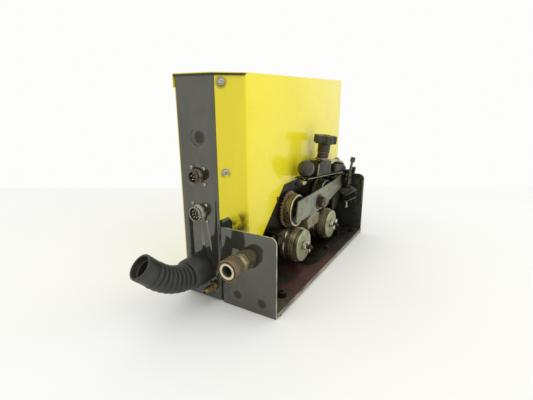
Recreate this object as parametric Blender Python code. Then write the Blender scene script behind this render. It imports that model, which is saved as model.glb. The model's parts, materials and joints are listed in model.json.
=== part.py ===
"""Open-sided welding wire feeder: a tall sheet-metal enclosure beside a four-roll wire drive.

All sizes are in millimetres in a workshop frame: X runs right from the left edge of the
front panel, Y runs back from the panel's face and Z runs up from the underside of the base.
place() turns them into metres from the centre of the base's underside.
"""
import math

import bmesh
import bpy
from mathutils import Vector

MM = 0.001
GAP = 0.3                      # running room and the gap between touching pieces

# Base and enclosure
BASE_CENTRE = (87.0, 216.0, 0.0)
BASE_RIGHT = 174.0
DEPTH = 432.0
HEIGHT = 360.0
SHEET = 1.6
PLATE = 2.4                    # base tray and end brackets
BOARD_TOP = 9.7
PANEL_WIDTH = 70.4
COVER_RIGHT = 103.4
CHAMFER_BACK = 36.0            # where the chamfered strip meets the side face
STRIP_BOTTOM = 132.0
FRONT_BRACKET_TOP = 132.0
REAR_BRACKET_TOP = 146.0
BRACKET_LEFT = 75.0

# Wire drive
DRIVE_PLATE_X = (95.5, 101.5)
GEAR_X = (103.8, 108.8)
MODULE = 2.0
DRIVE_TEETH = 38
LOWER_TEETH = 32
UPPER_TEETH = 34
DRIVE_Y = 236.0
LOWER_Z = 53.7
ROLL_SPACING = MODULE * (DRIVE_TEETH + LOWER_TEETH) / 2
FRONT_ROLL_Y = DRIVE_Y - ROLL_SPACING
REAR_ROLL_Y = DRIVE_Y + ROLL_SPACING
UPPER_Z = LOWER_Z + MODULE * (LOWER_TEETH + UPPER_TEETH) / 2
LOWER_ROLL_R = 33.0
DISC_R = 30.6
UPPER_ROLL_R = 30.6
UPPER_SET_BACK = 4.0
WIRE_X = 114.5
WIRE_Z = LOWER_Z + LOWER_ROLL_R + 1.2
LOWER_ROLL_END = 138.0
UPPER_ROLL_END = 125.0
AXLE_R = 6.0
DISC_X = (138.3, 141.5)

# Roller arm, release lever and tension unit share the rear pivot
PIVOT_Y = 392.0
PIVOT_Z = 135.0
PIVOT_R = 5.0
ARM_X = (130.0, 133.4)
LEVER_X = (106.0, 139.0)
TENSION_X = 129.0
TENSION_FOOT = (TENSION_X, 262.0, 170.0)
TENSION_AXIS = (0.086, 0.051, 0.994989)
BALL_CENTRE = (130.0, 190.0, 197.0)
BALL_R = 16.0
BALL_AXIS = (0.15, 0.0, 0.988686)

# Front fittings
COUPLER_X = WIRE_X
COUPLER_Z = 83.5
BOOT_START = (31.2, -GAP, 52.5)
BOOT_STRAIGHT = 31.0
BOOT_BEND_R = 84.0
BOOT_BEND = 0.82
BOOT_TAIL = 29.0
BOOT_TWIST = -0.32
BOOT_SIDES = 18
SMALL_SOCKET = (34.3, 208.9)
LARGE_SOCKET = (34.3, 149.6)
NIPPLE = (58.3, 27.0)

MINUS_Y = (0.0, -1.0, 0.0)
PLUS_X = (1.0, 0.0, 0.0)
PLUS_Y = (0.0, 1.0, 0.0)
PLUS_Z = (0.0, 0.0, 1.0)

# colour, roughness, metallic
FINISHES = {
    "yellow_paint": ((0.89, 0.75, 0.035), 0.35, 0.0),
    "black_paint": ((0.035, 0.036, 0.03), 0.2, 0.0),
    "dark_steel": ((0.05, 0.047, 0.04), 0.5, 0.7),
    "worn_steel": ((0.42, 0.42, 0.37), 0.45, 0.9),
    "zinc": ((0.55, 0.52, 0.36), 0.4, 0.9),
    "brass": ((0.45, 0.31, 0.12), 0.35, 1.0),
    "rubber": ((0.018, 0.018, 0.018), 0.6, 0.0),
    "black_plastic": ((0.02, 0.021, 0.022), 0.4, 0.0),
    "board": ((0.09, 0.03, 0.022), 0.5, 0.0),
    "circuit": ((0.02, 0.12, 0.05), 0.5, 0.0),
    "rust_steel": ((0.16, 0.1, 0.07), 0.6, 0.6),
}


def clear_scene():
    for item in list(bpy.data.objects):
        bpy.data.objects.remove(item, do_unlink=True)


def finish_material(name):
    if name in bpy.data.materials:
        return bpy.data.materials[name]
    colour, roughness, metallic = FINISHES[name]
    material = bpy.data.materials.new(name)
    material.use_nodes = True
    shader = material.node_tree.nodes["Principled BSDF"]
    shader.inputs["Base Color"].default_value = (*colour, 1.0)
    shader.inputs["Roughness"].default_value = roughness
    shader.inputs["Metallic"].default_value = metallic
    return material


# ---------------------------------------------------------------- shapes, in millimetres

def prism(axis, outline, low, high):
    """A flat outline extruded along one axis; the outline uses the other two, in X, Y, Z order."""
    mesh = bmesh.new()
    rings = []
    for level in (low, high):
        ring = []
        for first, second in outline:
            point = {"X": (level, first, second),
                     "Y": (first, level, second),
                     "Z": (first, second, level)}[axis]
            ring.append(mesh.verts.new(point))
        rings.append(ring)
        mesh.faces.new(ring)
    count = len(outline)
    for index in range(count):
        following = (index + 1) % count
        mesh.faces.new((rings[0][index], rings[0][following], rings[1][following], rings[1][index]))
    bmesh.ops.recalc_face_normals(mesh, faces=mesh.faces)
    return mesh


def block(x_range, y_range, z_range):
    outline = [(x_range[0], y_range[0]), (x_range[1], y_range[0]),
               (x_range[1], y_range[1]), (x_range[0], y_range[1])]
    return prism("Z", outline, *z_range)


def turned(centre, direction, profile, segments=28):
    """Turn a profile of (distance along, radius) points about an axis.

    A profile that starts and ends at radius 0 makes a solid; any other is closed into a ring.
    """
    axis = Vector(direction).normalized()
    side = axis.orthogonal().normalized()
    other = axis.cross(side)
    mesh = bmesh.new()
    rings = []
    for along, radius in profile:
        middle = Vector(centre) + axis * along
        if radius == 0:
            rings.append([mesh.verts.new(middle)])
            continue
        ring = []
        for index in range(segments):
            angle = math.tau * index / segments
            ring.append(mesh.verts.new(middle + radius * (side * math.cos(angle) + other * math.sin(angle))))
        rings.append(ring)
    pairs = list(zip(rings, rings[1:]))
    if len(rings[0]) > 1:
        pairs.append((rings[-1], rings[0]))
    for first, second in pairs:
        skin(mesh, first, second)
    bmesh.ops.recalc_face_normals(mesh, faces=mesh.faces)
    return mesh


def skin(mesh, first, second):
    """Faces between two rings, either of which may be a single point."""
    count = max(len(first), len(second))
    for index in range(count):
        following = (index + 1) % count
        corners = [first[index % len(first)], first[following % len(first)],
                   second[following % len(second)], second[index % len(second)]]
        unique = []
        for corner in corners:
            if corner not in unique:
                unique.append(corner)
        mesh.faces.new(unique)


def rod(centre, direction, low, high, radius, segments=20):
    return turned(centre, direction, [(low, 0), (low, radius), (high, radius), (high, 0)], segments)


def tube(centre, direction, low, high, inner, outer, segments=24):
    profile = [(low, inner), (low, outer), (high, outer), (high, inner)]
    return turned(centre, direction, profile, segments)


def hexagon(across_flats, centre=(0.0, 0.0), turn=0.0):
    radius = across_flats / math.sqrt(3)
    points = []
    for index in range(6):
        angle = turn + math.tau * index / 6
        points.append((centre[0] + radius * math.cos(angle), centre[1] + radius * math.sin(angle)))
    return points


def rounded(corners, steps=4):
    """An outline from (x, y, radius) corners, each rounded by an arc of that radius."""
    outline = []
    count = len(corners)
    for index in range(count):
        x, y, radius = corners[index]
        if radius == 0:
            outline.append((x, y))
            continue
        here = Vector((x, y))
        before = (Vector(corners[index - 1][:2]) - here).normalized()
        after = (Vector(corners[(index + 1) % count][:2]) - here).normalized()
        half = before.angle(after) / 2
        centre = here + (before + after).normalized() * (radius / math.sin(half))
        start = here + before * (radius / math.tan(half)) - centre
        sweep = math.pi - 2 * half
        if before.x * after.y - before.y * after.x > 0:
            sweep = -sweep
        for step in range(steps + 1):
            angle = sweep * step / steps
            turn_x = start.x * math.cos(angle) - start.y * math.sin(angle)
            turn_y = start.x * math.sin(angle) + start.y * math.cos(angle)
            outline.append((centre.x + turn_x, centre.y + turn_y))
    return outline


def gear_outline(teeth, first_tooth, centre):
    """Straight-flanked teeth with generous backlash; first_tooth is in tooth pitches."""
    pitch_r = MODULE * teeth / 2
    pitch = math.tau / teeth
    root_r = pitch_r - 1.2 * MODULE
    tip_r = pitch_r + 0.78 * MODULE
    outline = []
    for tooth in range(teeth):
        middle = (tooth + first_tooth) * pitch
        for radius, share in ((root_r, -0.27), (tip_r, -0.12), (tip_r, 0.12), (root_r, 0.27)):
            angle = middle + share * pitch
            outline.append((centre[0] + radius * math.cos(angle), centre[1] + radius * math.sin(angle)))
    return outline


# ---------------------------------------------------------------- objects

def place(point):
    return Vector([(value - centre) * MM for value, centre in zip(point, BASE_CENTRE)])


def make_object(name, mesh, origin):
    start = place(origin)
    for vertex in mesh.verts:
        vertex.co = place(vertex.co) - start
    data = bpy.data.meshes.new(name)
    mesh.to_mesh(data)
    mesh.free()
    item = bpy.data.objects.new(name, data)
    item.location = start
    bpy.context.collection.objects.link(item)
    return item


def solid(name, finish, base, add=(), remove=(), origin=BASE_CENTRE):
    """One named piece: a base shape with other shapes joined to it and cut from it."""
    item = make_object(name, base, origin)
    item.data.materials.append(finish_material(finish))
    item.data.shade_smooth()
    item.data.set_sharp_from_angle(angle=math.radians(35))
    for operation, shapes in (("UNION", add), ("DIFFERENCE", remove)):
        for shape in shapes:
            tool = make_object("tool_" + name, shape, origin)
            tool.hide_render = True
            tool.display_type = "WIRE"
            modifier = item.modifiers.new(operation.lower(), "BOOLEAN")
            modifier.operation = operation
            modifier.object = tool
    return item


def build_base():
    solid("base_tray", "black_paint", block((2, BASE_RIGHT), (PLATE + GAP, DEPTH - PLATE - GAP), (0, PLATE)))
    solid("base_board", "board",
          block((BRACKET_LEFT, BASE_RIGHT + 1.7), (5, DEPTH - 5), (PLATE + GAP, BOARD_TOP)))
    front = rounded([(BRACKET_LEFT, 0, 0), (BASE_RIGHT, 0, 0),
                     (BASE_RIGHT, FRONT_BRACKET_TOP, 10), (BRACKET_LEFT, FRONT_BRACKET_TOP, 0)])
    hole = rod((COUPLER_X, 0, COUPLER_Z), PLUS_Y, -5, 10, 9.6)
    solid("front_bracket", "black_paint", prism("Y", front, 0, PLATE), remove=[hole])
    rear = rounded([(BRACKET_LEFT, 0, 0), (BASE_RIGHT, 0, 0),
                    (BASE_RIGHT, REAR_BRACKET_TOP, 12), (BRACKET_LEFT, REAR_BRACKET_TOP, 12)])
    hole = rod((WIRE_X, DEPTH, WIRE_Z), PLUS_Y, -10, 5, 8)
    solid("rear_bracket", "black_paint", prism("Y", rear, DEPTH - PLATE, DEPTH), remove=[hole])


def build_enclosure():
    top = HEIGHT - 3.0
    low = PLATE + 0.6
    outline = rounded([(0, 0, 0), (PANEL_WIDTH, 0, 3), (PANEL_WIDTH, 14, 0), (PANEL_WIDTH - SHEET, 14, 0),
                       (PANEL_WIDTH - SHEET, SHEET, 1.4), (0, SHEET, 0)])
    holes = [rod((x, 0, z), PLUS_Y, -5, 10, radius)
             for (x, z), radius in ((SMALL_SOCKET, 10.6), (LARGE_SOCKET, 12.6), (NIPPLE, 5.6),
                                    ((BOOT_START[0], BOOT_START[2]), 18))]
    dimple = rod((37.5, 0, 268.7), PLUS_Y, -3, 0.5, 14)
    solid("front_panel", "black_paint", prism("Z", outline, low, top), remove=holes + [dimple])
    solid("left_panel", "yellow_paint", block((0, 1.2), (SHEET + GAP, 430), (low, top - 0.4)))
    solid("rear_panel", "black_paint", block((1.9, 94.8), (427.6, 429.2), (low, top - 0.4)))
    build_cover()


def build_cover():
    """Top, chamfered strip and side face, folded from one sheet, with a flange over the left side."""
    thick = 1.2
    inner = COVER_RIGHT - thick
    back = DEPTH + 1
    slope = thick * 0.414
    wall = [(PANEL_WIDTH + 0.5, 3.0), (COVER_RIGHT, CHAMFER_BACK), (COVER_RIGHT, back), (inner, back),
            (inner, CHAMFER_BACK + slope), (PANEL_WIDTH + 0.5, 3.0 + thick * 1.414)]
    walls = prism("Z", wall, 60, HEIGHT)
    lid_top = rounded([(-1.7, -3, 2), (PANEL_WIDTH, -3, 1), (COVER_RIGHT, CHAMFER_BACK - 6, 1),
                       (COVER_RIGHT, back, 0), (-1.7, back, 0)], 3)
    lid = prism("Z", lid_top, HEIGHT - thick, HEIGHT)
    left_flange = block((-1.7, -0.5), (-2.5, back), (HEIGHT - 20, HEIGHT - 0.2))
    strip_cut = block((PANEL_WIDTH - 5, CHAMFER_BACK + 60), (-5, CHAMFER_BACK - 1), (40, STRIP_BOTTOM))
    window = prism("X", [(30, 50), (30, 53), (76, 96), (155, 171), (404, 171), (430, 184), (440, 184),
                         (440, 50)], inner - 5, COVER_RIGHT + 5)
    solid("cover", "yellow_paint", walls, add=[lid, left_flange], remove=[strip_cut, window])


def build_internals():
    solid("drive_plate", "dark_steel",
          prism("X", rounded([(40, 10.0, 0), (428, 10.0, 0), (428, 185, 12), (40, 185, 12)]),
                *DRIVE_PLATE_X),
          remove=[rod((90, DRIVE_Y, LOWER_Z), PLUS_X, 0, 20, 9)]
          + [rod((90, y, LOWER_Z), PLUS_X, 0, 20, AXLE_R + GAP) for y in (FRONT_ROLL_Y, REAR_ROLL_Y)]
          + [rod((90, PIVOT_Y, PIVOT_Z), PLUS_X, 0, 20, PIVOT_R + GAP)])
    solid("gearbox", "worn_steel", block((30, 95), (200, 272), (18, 98)),
          remove=[rod((60, DRIVE_Y, LOWER_Z), PLUS_X, 0, 40, 8)])
    solid("drive_motor", "black_paint",
          turned((58, 272.4, 60), PLUS_Y, [(0, 0), (0, 30), (118, 30), (122, 26), (128, 26), (128, 0)]))
    solid("control_board", "circuit", block((4, 5.6), (60, 330), (130, 320)),
          add=[block((5, 30), (90, 130), (150, 220)), block((5, 22), (180, 220), (240, 300)),
               block((5, 18), (250, 300), (160, 180))])
    solid("gas_valve", "brass", block((46, 70), (18, 62), (14, 40)),
          add=[rod((58, 45, 39), PLUS_Z, 0, 34, 11)])


def build_sockets():
    for name, (x, z), barrel, flange, depth in (("small", SMALL_SOCKET, 10.0, 30.0, 13.0),
                                                ("large", LARGE_SOCKET, 12.0, 33.0, 14.0)):
        centre = (x, 0, z)
        half = flange / 2
        plate = prism("Y", rounded([(x - half, z - half, 3), (x + half, z - half, 3),
                                    (x + half, z + half, 3), (x - half, z + half, 3)], 2), 1.9, 3.9)
        shell = tube(centre, MINUS_Y, -18, depth, barrel - 1.9, barrel, 20)
        bore = rod(centre, PLUS_Y, -20, 25, barrel - 1.8, 20)
        solid("socket_" + name + "_shell", "dark_steel", shell, add=[plate], remove=[bore])
        insert = rod(centre, MINUS_Y, -17, depth - 9, barrel - 2.1, 20)
        solid("socket_" + name + "_insert", "black_plastic", insert)


def boot_station(distance):
    """Centre and direction of the bend-relief sleeve at a distance from the panel."""
    bend_to = Vector((math.sin(BOOT_TWIST), 0, math.cos(BOOT_TWIST)))
    forward = Vector(MINUS_Y)
    straight = min(distance, BOOT_STRAIGHT)
    angle = min(max(distance - BOOT_STRAIGHT, 0) / BOOT_BEND_R, BOOT_BEND)
    centre = Vector(BOOT_START) + forward * (straight + BOOT_BEND_R * math.sin(angle))
    centre += bend_to * BOOT_BEND_R * (1 - math.cos(angle))
    direction = forward * math.cos(angle) + bend_to * math.sin(angle)
    tail = max(distance - BOOT_STRAIGHT - BOOT_BEND_R * BOOT_BEND, 0)
    return centre + direction * tail, direction, forward.cross(bend_to)


def build_boot():
    length = BOOT_STRAIGHT + BOOT_BEND_R * BOOT_BEND + BOOT_TAIL
    folds = 8
    first_fold = 38.0
    fold_pitch = 8.4
    stations = [(0, 26.0), (34, 25.5)]
    for fold in range(folds):
        at = first_fold + fold * fold_pitch
        stations += [(at, 19.6), (at + 4.2, 21.9)]
    cuff = first_fold + folds * fold_pitch
    stations += [(cuff, 19.4), (cuff + 2, 20.4), (length - 1, 20.4), (length, 19.6)]
    stations += [(length, 16.6), (length - 14, 16.4), (length - 15, 15.0)]
    stations += [(length * share, 15.0) for share in (0.75, 0.6, 0.45, 0.3)]
    stations += [(0, 15.0)]
    mesh = bmesh.new()
    rings = []
    for distance, radius in stations:
        centre, direction, side = boot_station(distance)
        other = direction.cross(side)
        ring = []
        for index in range(BOOT_SIDES):
            angle = math.tau * index / BOOT_SIDES
            ring.append(mesh.verts.new(centre + radius * (side * math.cos(angle) + other * math.sin(angle))))
        rings.append(ring)
    for first, second in zip(rings, rings[1:] + rings[:1]):
        skin(mesh, first, second)
    bmesh.ops.recalc_face_normals(mesh, faces=mesh.faces)
    solid("cable_boot", "rubber", mesh)
    solid("boot_lock_ring", "black_plastic",
          tube((BOOT_START[0], SHEET + GAP, BOOT_START[2]), PLUS_Y, 0, 6, 16, 25, 20))


def build_front_fittings():
    x, z = NIPPLE
    nipple = turned((x, 0, z), MINUS_Y,
                    [(-12, 2.2), (-12, 5.2), (7, 5.2), (7, 4.2), (11, 4.2), (11, 5.4), (16, 4.0), (16, 5.2),
                     (21, 3.8), (21, 5.0), (28, 3.4), (28, 2.2)], 14)
    nut = prism("Y", hexagon(14, (x, z), 0.3), -6.6, -GAP)
    bore = rod((x, 0, z), PLUS_Y, -30, 15, 2.3, 14)
    solid("gas_nipple", "brass", nipple, add=[nut], remove=[bore])

    centre = (COUPLER_X, 0, COUPLER_Z)
    hex_nut = prism("Y", hexagon(27, (COUPLER_X, COUPLER_Z), 0.2), -12.7, -GAP)
    solid("coupler_body", "worn_steel",
          turned(centre, MINUS_Y, [(-11, 8.0), (-11, 9.3), (13, 9.3), (13, 13.0), (40.4, 13.0), (41, 12.4),
                                   (41, 8.8), (4, 8.8), (2, 8.0)]))
    solid("coupler_nut", "rust_steel", hex_nut, remove=[rod(centre, PLUS_Y, -20, 5, 9.6)])
    sleeve = turned(centre, MINUS_Y, [(18.4, 13.35), (18.4, 16.4), (19.6, 17.4), (24, 17.4), (24.6, 16.6),
                                      (26.4, 16.6), (27, 17.4), (39, 17.4), (40.2, 16.8), (40.2, 15.6),
                                      (37.5, 15.0), (37.5, 13.35)])
    solid("coupler_sleeve", "rust_steel", sleeve)


def build_gears_and_rolls():
    solid("drive_gear", "dark_steel",
          prism("X", gear_outline(DRIVE_TEETH, 0, (DRIVE_Y, LOWER_Z)), *GEAR_X),
          add=[rod((88, DRIVE_Y, LOWER_Z), PLUS_X, 0, 23, 7.5)], origin=(GEAR_X[0], DRIVE_Y, LOWER_Z))
    for where, y in (("front", FRONT_ROLL_Y), ("rear", REAR_ROLL_Y)):
        build_lower_roll("lower_" + where, y)
        build_upper_roll("upper_" + where, y + UPPER_SET_BACK)


def roll_profile(low, high, bore, radius, groove):
    """A grooved roll: bore, rims with small chamfers and one V groove on the wire line."""
    return [(low, bore), (low, radius - 1), (low + 1, radius), (groove - 1.1, radius),
            (groove, radius - 1.0),
            (groove + 1.1, radius), (high - 1, radius), (high, radius - 1), (high, bore)]


def build_lower_roll(name, y):
    centre = (0, y, LOWER_Z)
    axis_origin = (GEAR_X[0], y, LOWER_Z)
    solid(name + "_gear", "dark_steel",
          prism("X", gear_outline(LOWER_TEETH, 0.5, (y, LOWER_Z)), *GEAR_X),
          remove=[rod(centre, PLUS_X, 90, 120, AXLE_R + GAP)], origin=axis_origin)
    solid(name + "_roll", "worn_steel",
          turned(centre, PLUS_X, roll_profile(GEAR_X[1] + GAP, LOWER_ROLL_END, AXLE_R + GAP,
                                              LOWER_ROLL_R, WIRE_X), 24), origin=axis_origin)
    holes = []
    for index in range(3):
        angle = math.tau * (index + 0.2) / 3
        hole_at = (0, y + 20 * math.cos(angle), LOWER_Z + 20 * math.sin(angle))
        holes.append(rod(hole_at, PLUS_X, 130, 150, 2.2, 10))
    solid(name + "_disc", "zinc",
          turned(centre, PLUS_X, [(DISC_X[0], AXLE_R + GAP), (DISC_X[0], DISC_R),
                                  (DISC_X[1] - 0.8, DISC_R), (DISC_X[1], DISC_R - 0.8),
                                  (DISC_X[1], AXLE_R + GAP)], 24), remove=holes, origin=axis_origin)
    solid(name + "_axle", "worn_steel", rod(centre, PLUS_X, 92, DISC_X[1], AXLE_R), origin=axis_origin)
    screw = turned(centre, PLUS_X, [(142, 0), (142, 8), (144, 8), (144, 6), (150, 6), (150, 4.5), (157, 4.5),
                                    (158, 3.5), (158, 0)], 20)
    wings = prism("X", rounded([(y - 14, LOWER_Z - 3, 2.5), (y + 14, LOWER_Z - 3, 2.5),
                                (y + 14, LOWER_Z + 3, 2.5), (y - 14, LOWER_Z + 3, 2.5)], 3), 145.5, 153)
    solid(name + "_wing_screw", "zinc", screw, add=[wings], origin=(142, y, LOWER_Z))


def build_upper_roll(name, y):
    centre = (0, y, UPPER_Z)
    axis_origin = (GEAR_X[0], y, UPPER_Z)
    solid(name + "_gear", "dark_steel",
          prism("X", gear_outline(UPPER_TEETH, 0.935, (y, UPPER_Z)), *GEAR_X),
          remove=[rod(centre, PLUS_X, 90, 120, AXLE_R + GAP)], origin=axis_origin)
    solid(name + "_roll", "worn_steel",
          turned(centre, PLUS_X, roll_profile(GEAR_X[1] + GAP, UPPER_ROLL_END, AXLE_R + GAP,
                                              UPPER_ROLL_R, WIRE_X), 24), origin=axis_origin)
    axle = turned(centre, PLUS_X, [(GEAR_X[0], 0), (GEAR_X[0], AXLE_R), (125.6, AXLE_R), (125.6, 11),
                                   (ARM_X[0] - GAP, 11), (ARM_X[0] - GAP, 0)], 24)
    solid(name + "_axle", "worn_steel", axle, origin=axis_origin)


def build_roller_arm():
    plate = rounded([(148, 101, 3), (158, 141, 3), (372, 146, 6), (398, 150, 8), (405, 136, 9),
                     (400, 123, 8), (374, 118, 4), (276, 99, 3), (262, 99, 3)][::-1], 3)
    boss = rod((0, PIVOT_Y, PIVOT_Z), PLUS_X, 114, ARM_X[1], 9.5)
    solid("roller_arm", "worn_steel", prism("X", plate, *ARM_X), add=[boss],
          remove=[rod((0, PIVOT_Y, PIVOT_Z), PLUS_X, 90, 160, PIVOT_R + GAP)],
          origin=(ARM_X[0], PIVOT_Y, PIVOT_Z))
    bolt = turned((ARM_X[1] + GAP, 251.5, 118), PLUS_X, [(0, 0), (0, 11), (1.6, 11), (1.6, 9.4), (9.6, 9.4),
                                                     (11, 7.4), (11, 0)], 18)
    solid("arm_bolt", "rust_steel", bolt, origin=(ARM_X[0], PIVOT_Y, PIVOT_Z))
    solid("pivot_pin", "worn_steel", rod((0, PIVOT_Y, PIVOT_Z), PLUS_X, 92, 148, PIVOT_R))
    web = block((101.8, 147), (409.5, 424), (112, 156))
    cheek = prism("X", rounded([(382, 122, 6), (382, 148, 8), (412, 152, 0), (412, 112, 0)], 3), 141, 147)
    screw_foot = (150.6, 374.2, 133)
    screw_axis = (0, 0.53, 0.848)
    lug = block((146, 156), (366, 386), (130.5, 144.5))
    solid("pivot_bracket", "dark_steel", web, add=[cheek, lug],
          remove=[rod((0, PIVOT_Y, PIVOT_Z), PLUS_X, 130, 160, PIVOT_R + GAP),
                  rod(screw_foot, screw_axis, -20, 40, 3 + GAP, 14)])
    solid("stop_screw", "rust_steel",
          turned(screw_foot, screw_axis, [(0, 0), (0, 3), (54, 3), (54, 5.6), (64, 5.6), (64, 0)], 14))


def build_lever():
    near, far = LEVER_X[1], LEVER_X[0]
    hinge = (far, PIVOT_Y, PIVOT_Z)
    top = prism("X", [(200, 176.5), (372, 157.6), (372, 159.2), (200, 178.1)], far, near)
    lug_outline = rounded([(383, 126, 7), (402, 126, 8), (402, 146, 8), (374, 160.5, 0), (340, 163.4, 0),
                           (340, 160.2, 0), (374, 150, 0)], 3)
    lug = prism("X", lug_outline, near - 2.8, near)
    far_lug = prism("X", lug_outline, far, far + 3)
    ball_stem = Vector(BALL_CENTRE) - 21 * Vector(BALL_AXIS)
    front_tab = prism("X", [(181, 178.6), (201, 176.4), (201, 178), (181, 180.2)], 111, near)
    solid("release_lever", "dark_steel", top, add=[lug, far_lug, front_tab],
          remove=[rod((0, PIVOT_Y, PIVOT_Z), PLUS_X, 90, 160, PIVOT_R + GAP),
                  rod(ball_stem, BALL_AXIS, -10, 10, 3.4, 16),
                  rod(TENSION_FOOT, TENSION_AXIS, -30, 20, 4.4, 16)], origin=hinge)
    body = prism("X", [(228, 175.6), (300, 168.6), (302, 194), (296, 198), (244, 203), (236, 199)], 114, 138)
    axis_hole = rod(TENSION_FOOT, TENSION_AXIS, -10, 60, 4.4)
    solid("pressure_block", "dark_steel", body, remove=[axis_hole], origin=hinge)
    strap = prism("X", [(303, 190), (303, 194), (352, 190), (386, 181), (398, 173.5), (396, 170.5),
                        (384, 177), (351, 186)], 112, 134)
    strap_leg = prism("X", [(303, 190), (307, 190), (307, 168.2), (303, 168.5)], 112, 134)
    solid("top_strap", "worn_steel", strap, add=[strap_leg], origin=hinge)
    ball = [(0, 0)]
    for step in range(9):
        angle = math.pi * (step + 1) / 10 - math.pi / 2
        ball.append((BALL_R * (1 + math.sin(angle)), BALL_R * math.cos(angle)))
    ball.append((2 * BALL_R, 0))
    ball_foot = Vector(BALL_CENTRE) - BALL_R * Vector(BALL_AXIS)
    solid("ball_knob", "black_plastic", turned(ball_foot, BALL_AXIS, ball, 22), origin=hinge)
    solid("ball_stud", "zinc",
          turned(ball_stem, BALL_AXIS, [(-9, 0), (-9, 6.2), (-1.4, 6.2), (-1.4, 3), (4.6, 3), (4.6, 0)], 12),
          origin=hinge)


def build_tension_unit():
    hinge = (LEVER_X[0], PIVOT_Y, PIVOT_Z)
    foot = TENSION_FOOT
    solid("pressure_rod", "worn_steel", turned(foot, TENSION_AXIS,
                                               [(-7, 0), (-7, 4), (55, 4), (55, 0)], 16), origin=hinge)
    solid("tension_spring", "worn_steel", tube(foot, TENSION_AXIS, 33.4, 47.6, 6.4, 11.5, 20), origin=hinge)
    lobes = []
    count = 30
    for index in range(count):
        angle = math.tau * index / count
        radius = 20.6 + 2.9 * math.tanh(2.2 * math.cos(5 * angle))
        lobes.append((radius, angle))
    axis = Vector(TENSION_AXIS)
    side = axis.cross(Vector(PLUS_X)).normalized()
    other = axis.cross(side)
    mesh = bmesh.new()
    rings = []
    for along, shrink in ((66.0, 1.5), (67.5, 0.0), (80.5, 0.0), (82.0, 1.5)):
        ring = []
        for radius, angle in lobes:
            offset = (radius - shrink) * (side * math.cos(angle) + other * math.sin(angle))
            ring.append(mesh.verts.new(Vector(foot) + axis * along + offset))
        rings.append(ring)
    for first, second in zip(rings, rings[1:]):
        skin(mesh, first, second)
    mesh.faces.new(rings[0])
    mesh.faces.new(rings[-1])
    bmesh.ops.recalc_face_normals(mesh, faces=mesh.faces)
    solid("tension_knob", "black_plastic", mesh,
          add=[rod(foot, TENSION_AXIS, 50.2, 70, 12.4)],
          remove=[rod(foot, TENSION_AXIS, 40, 60, 4.4)], origin=foot)


def build_wire_guides():
    wire = (WIRE_X, 0, WIRE_Z)
    solid("outlet_guide", "brass", tube(wire, PLUS_Y, 14, 134, 2.2, 4.6, 16))
    solid("outlet_block", "dark_steel", block((101.9, 124), (96, 122), (74, 97)),
          remove=[rod(wire, PLUS_Y, 80, 140, 4.9, 16)])
    centre = prism("X", [(212, 69), (262, 69), (267, 90), (248, 96), (224, 96), (206, 90)], 109.8, 129)
    solid("centre_guide", "worn_steel", centre,
          add=[block((101.9, 112), (228, 244), (95.6, 104)), block((109.8, 129), (228, 244), (90, 104))],
          remove=[rod(wire, PLUS_Y, 190, 290, 2.2, 12)])
    solid("inlet_guide", "brass", tube(wire, PLUS_Y, 340, 431, 2.2, 4.6, 16))
    solid("inlet_block", "dark_steel", prism("X", rounded([(352, 70, 3), (400, 70, 3), (400, 112, 4),
                                                           (386, 112, 4), (352, 98, 4)], 2), 101.9, 126),
          remove=[rod(wire, PLUS_Y, 330, 420, 4.9, 16)])
    outline = rounded([(101.9, 176, 0), (150, 176, 10), (158, 196, 10), (158, 372, 8), (101.9, 372, 0)], 3)
    solid("drive_foot", "dark_steel", prism("Z", outline, BOARD_TOP + GAP, 13.6))


def main():
    clear_scene()
    build_base()
    build_enclosure()
    build_internals()
    build_sockets()
    build_boot()
    build_front_fittings()
    build_gears_and_rolls()
    build_roller_arm()
    build_lever()
    build_tension_unit()
    build_wire_guides()


main()
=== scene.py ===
"""Looks for the open-sided welding wire feeder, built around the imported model.

Sizes are in millimetres in the feeder's workshop frame (X right from the front panel's left
edge, Y back from its face, Z up from the base); place() turns them into metres.
"""
import json
import math

import bmesh
import bpy
from mathutils import Matrix, Vector


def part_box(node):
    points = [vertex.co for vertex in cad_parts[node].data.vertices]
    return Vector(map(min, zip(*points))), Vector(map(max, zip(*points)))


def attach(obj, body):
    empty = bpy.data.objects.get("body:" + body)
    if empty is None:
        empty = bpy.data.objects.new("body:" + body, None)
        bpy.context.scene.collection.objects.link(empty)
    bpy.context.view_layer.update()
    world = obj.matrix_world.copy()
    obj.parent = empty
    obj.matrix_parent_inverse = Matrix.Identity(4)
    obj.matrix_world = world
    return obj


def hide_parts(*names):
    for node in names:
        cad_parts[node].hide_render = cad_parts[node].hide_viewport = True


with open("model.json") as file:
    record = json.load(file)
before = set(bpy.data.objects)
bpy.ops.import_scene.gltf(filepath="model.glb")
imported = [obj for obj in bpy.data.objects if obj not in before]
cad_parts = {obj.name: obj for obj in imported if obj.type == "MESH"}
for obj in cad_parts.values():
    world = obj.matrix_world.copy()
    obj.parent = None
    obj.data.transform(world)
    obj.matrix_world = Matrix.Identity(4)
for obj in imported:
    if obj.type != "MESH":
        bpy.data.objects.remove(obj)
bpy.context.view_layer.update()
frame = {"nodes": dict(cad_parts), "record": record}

MM = 0.001
WELD_DISTANCE = 0.02 * MM
FLAT_ANGLE = math.radians(1.0)
BEVEL_ANGLE = math.radians(33)
BASE_CENTRE = (87.0, 216.0, 0.0)
PLUS_X = (1.0, 0.0, 0.0)
PLUS_Y = (0.0, 1.0, 0.0)
MINUS_Y = (0.0, -1.0, 0.0)
PLUS_Z = (0.0, 0.0, 1.0)


def to_mm(point):
    return tuple(value / MM + centre for value, centre in zip(point, BASE_CENTRE))


def span(node):
    """Lowest and highest corners of a CAD node, in workshop millimetres."""
    low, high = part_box(node)
    return to_mm(low), to_mm(high)


def middle(node):
    low, high = span(node)
    return tuple((a + b) / 2 for a, b in zip(low, high))


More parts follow.
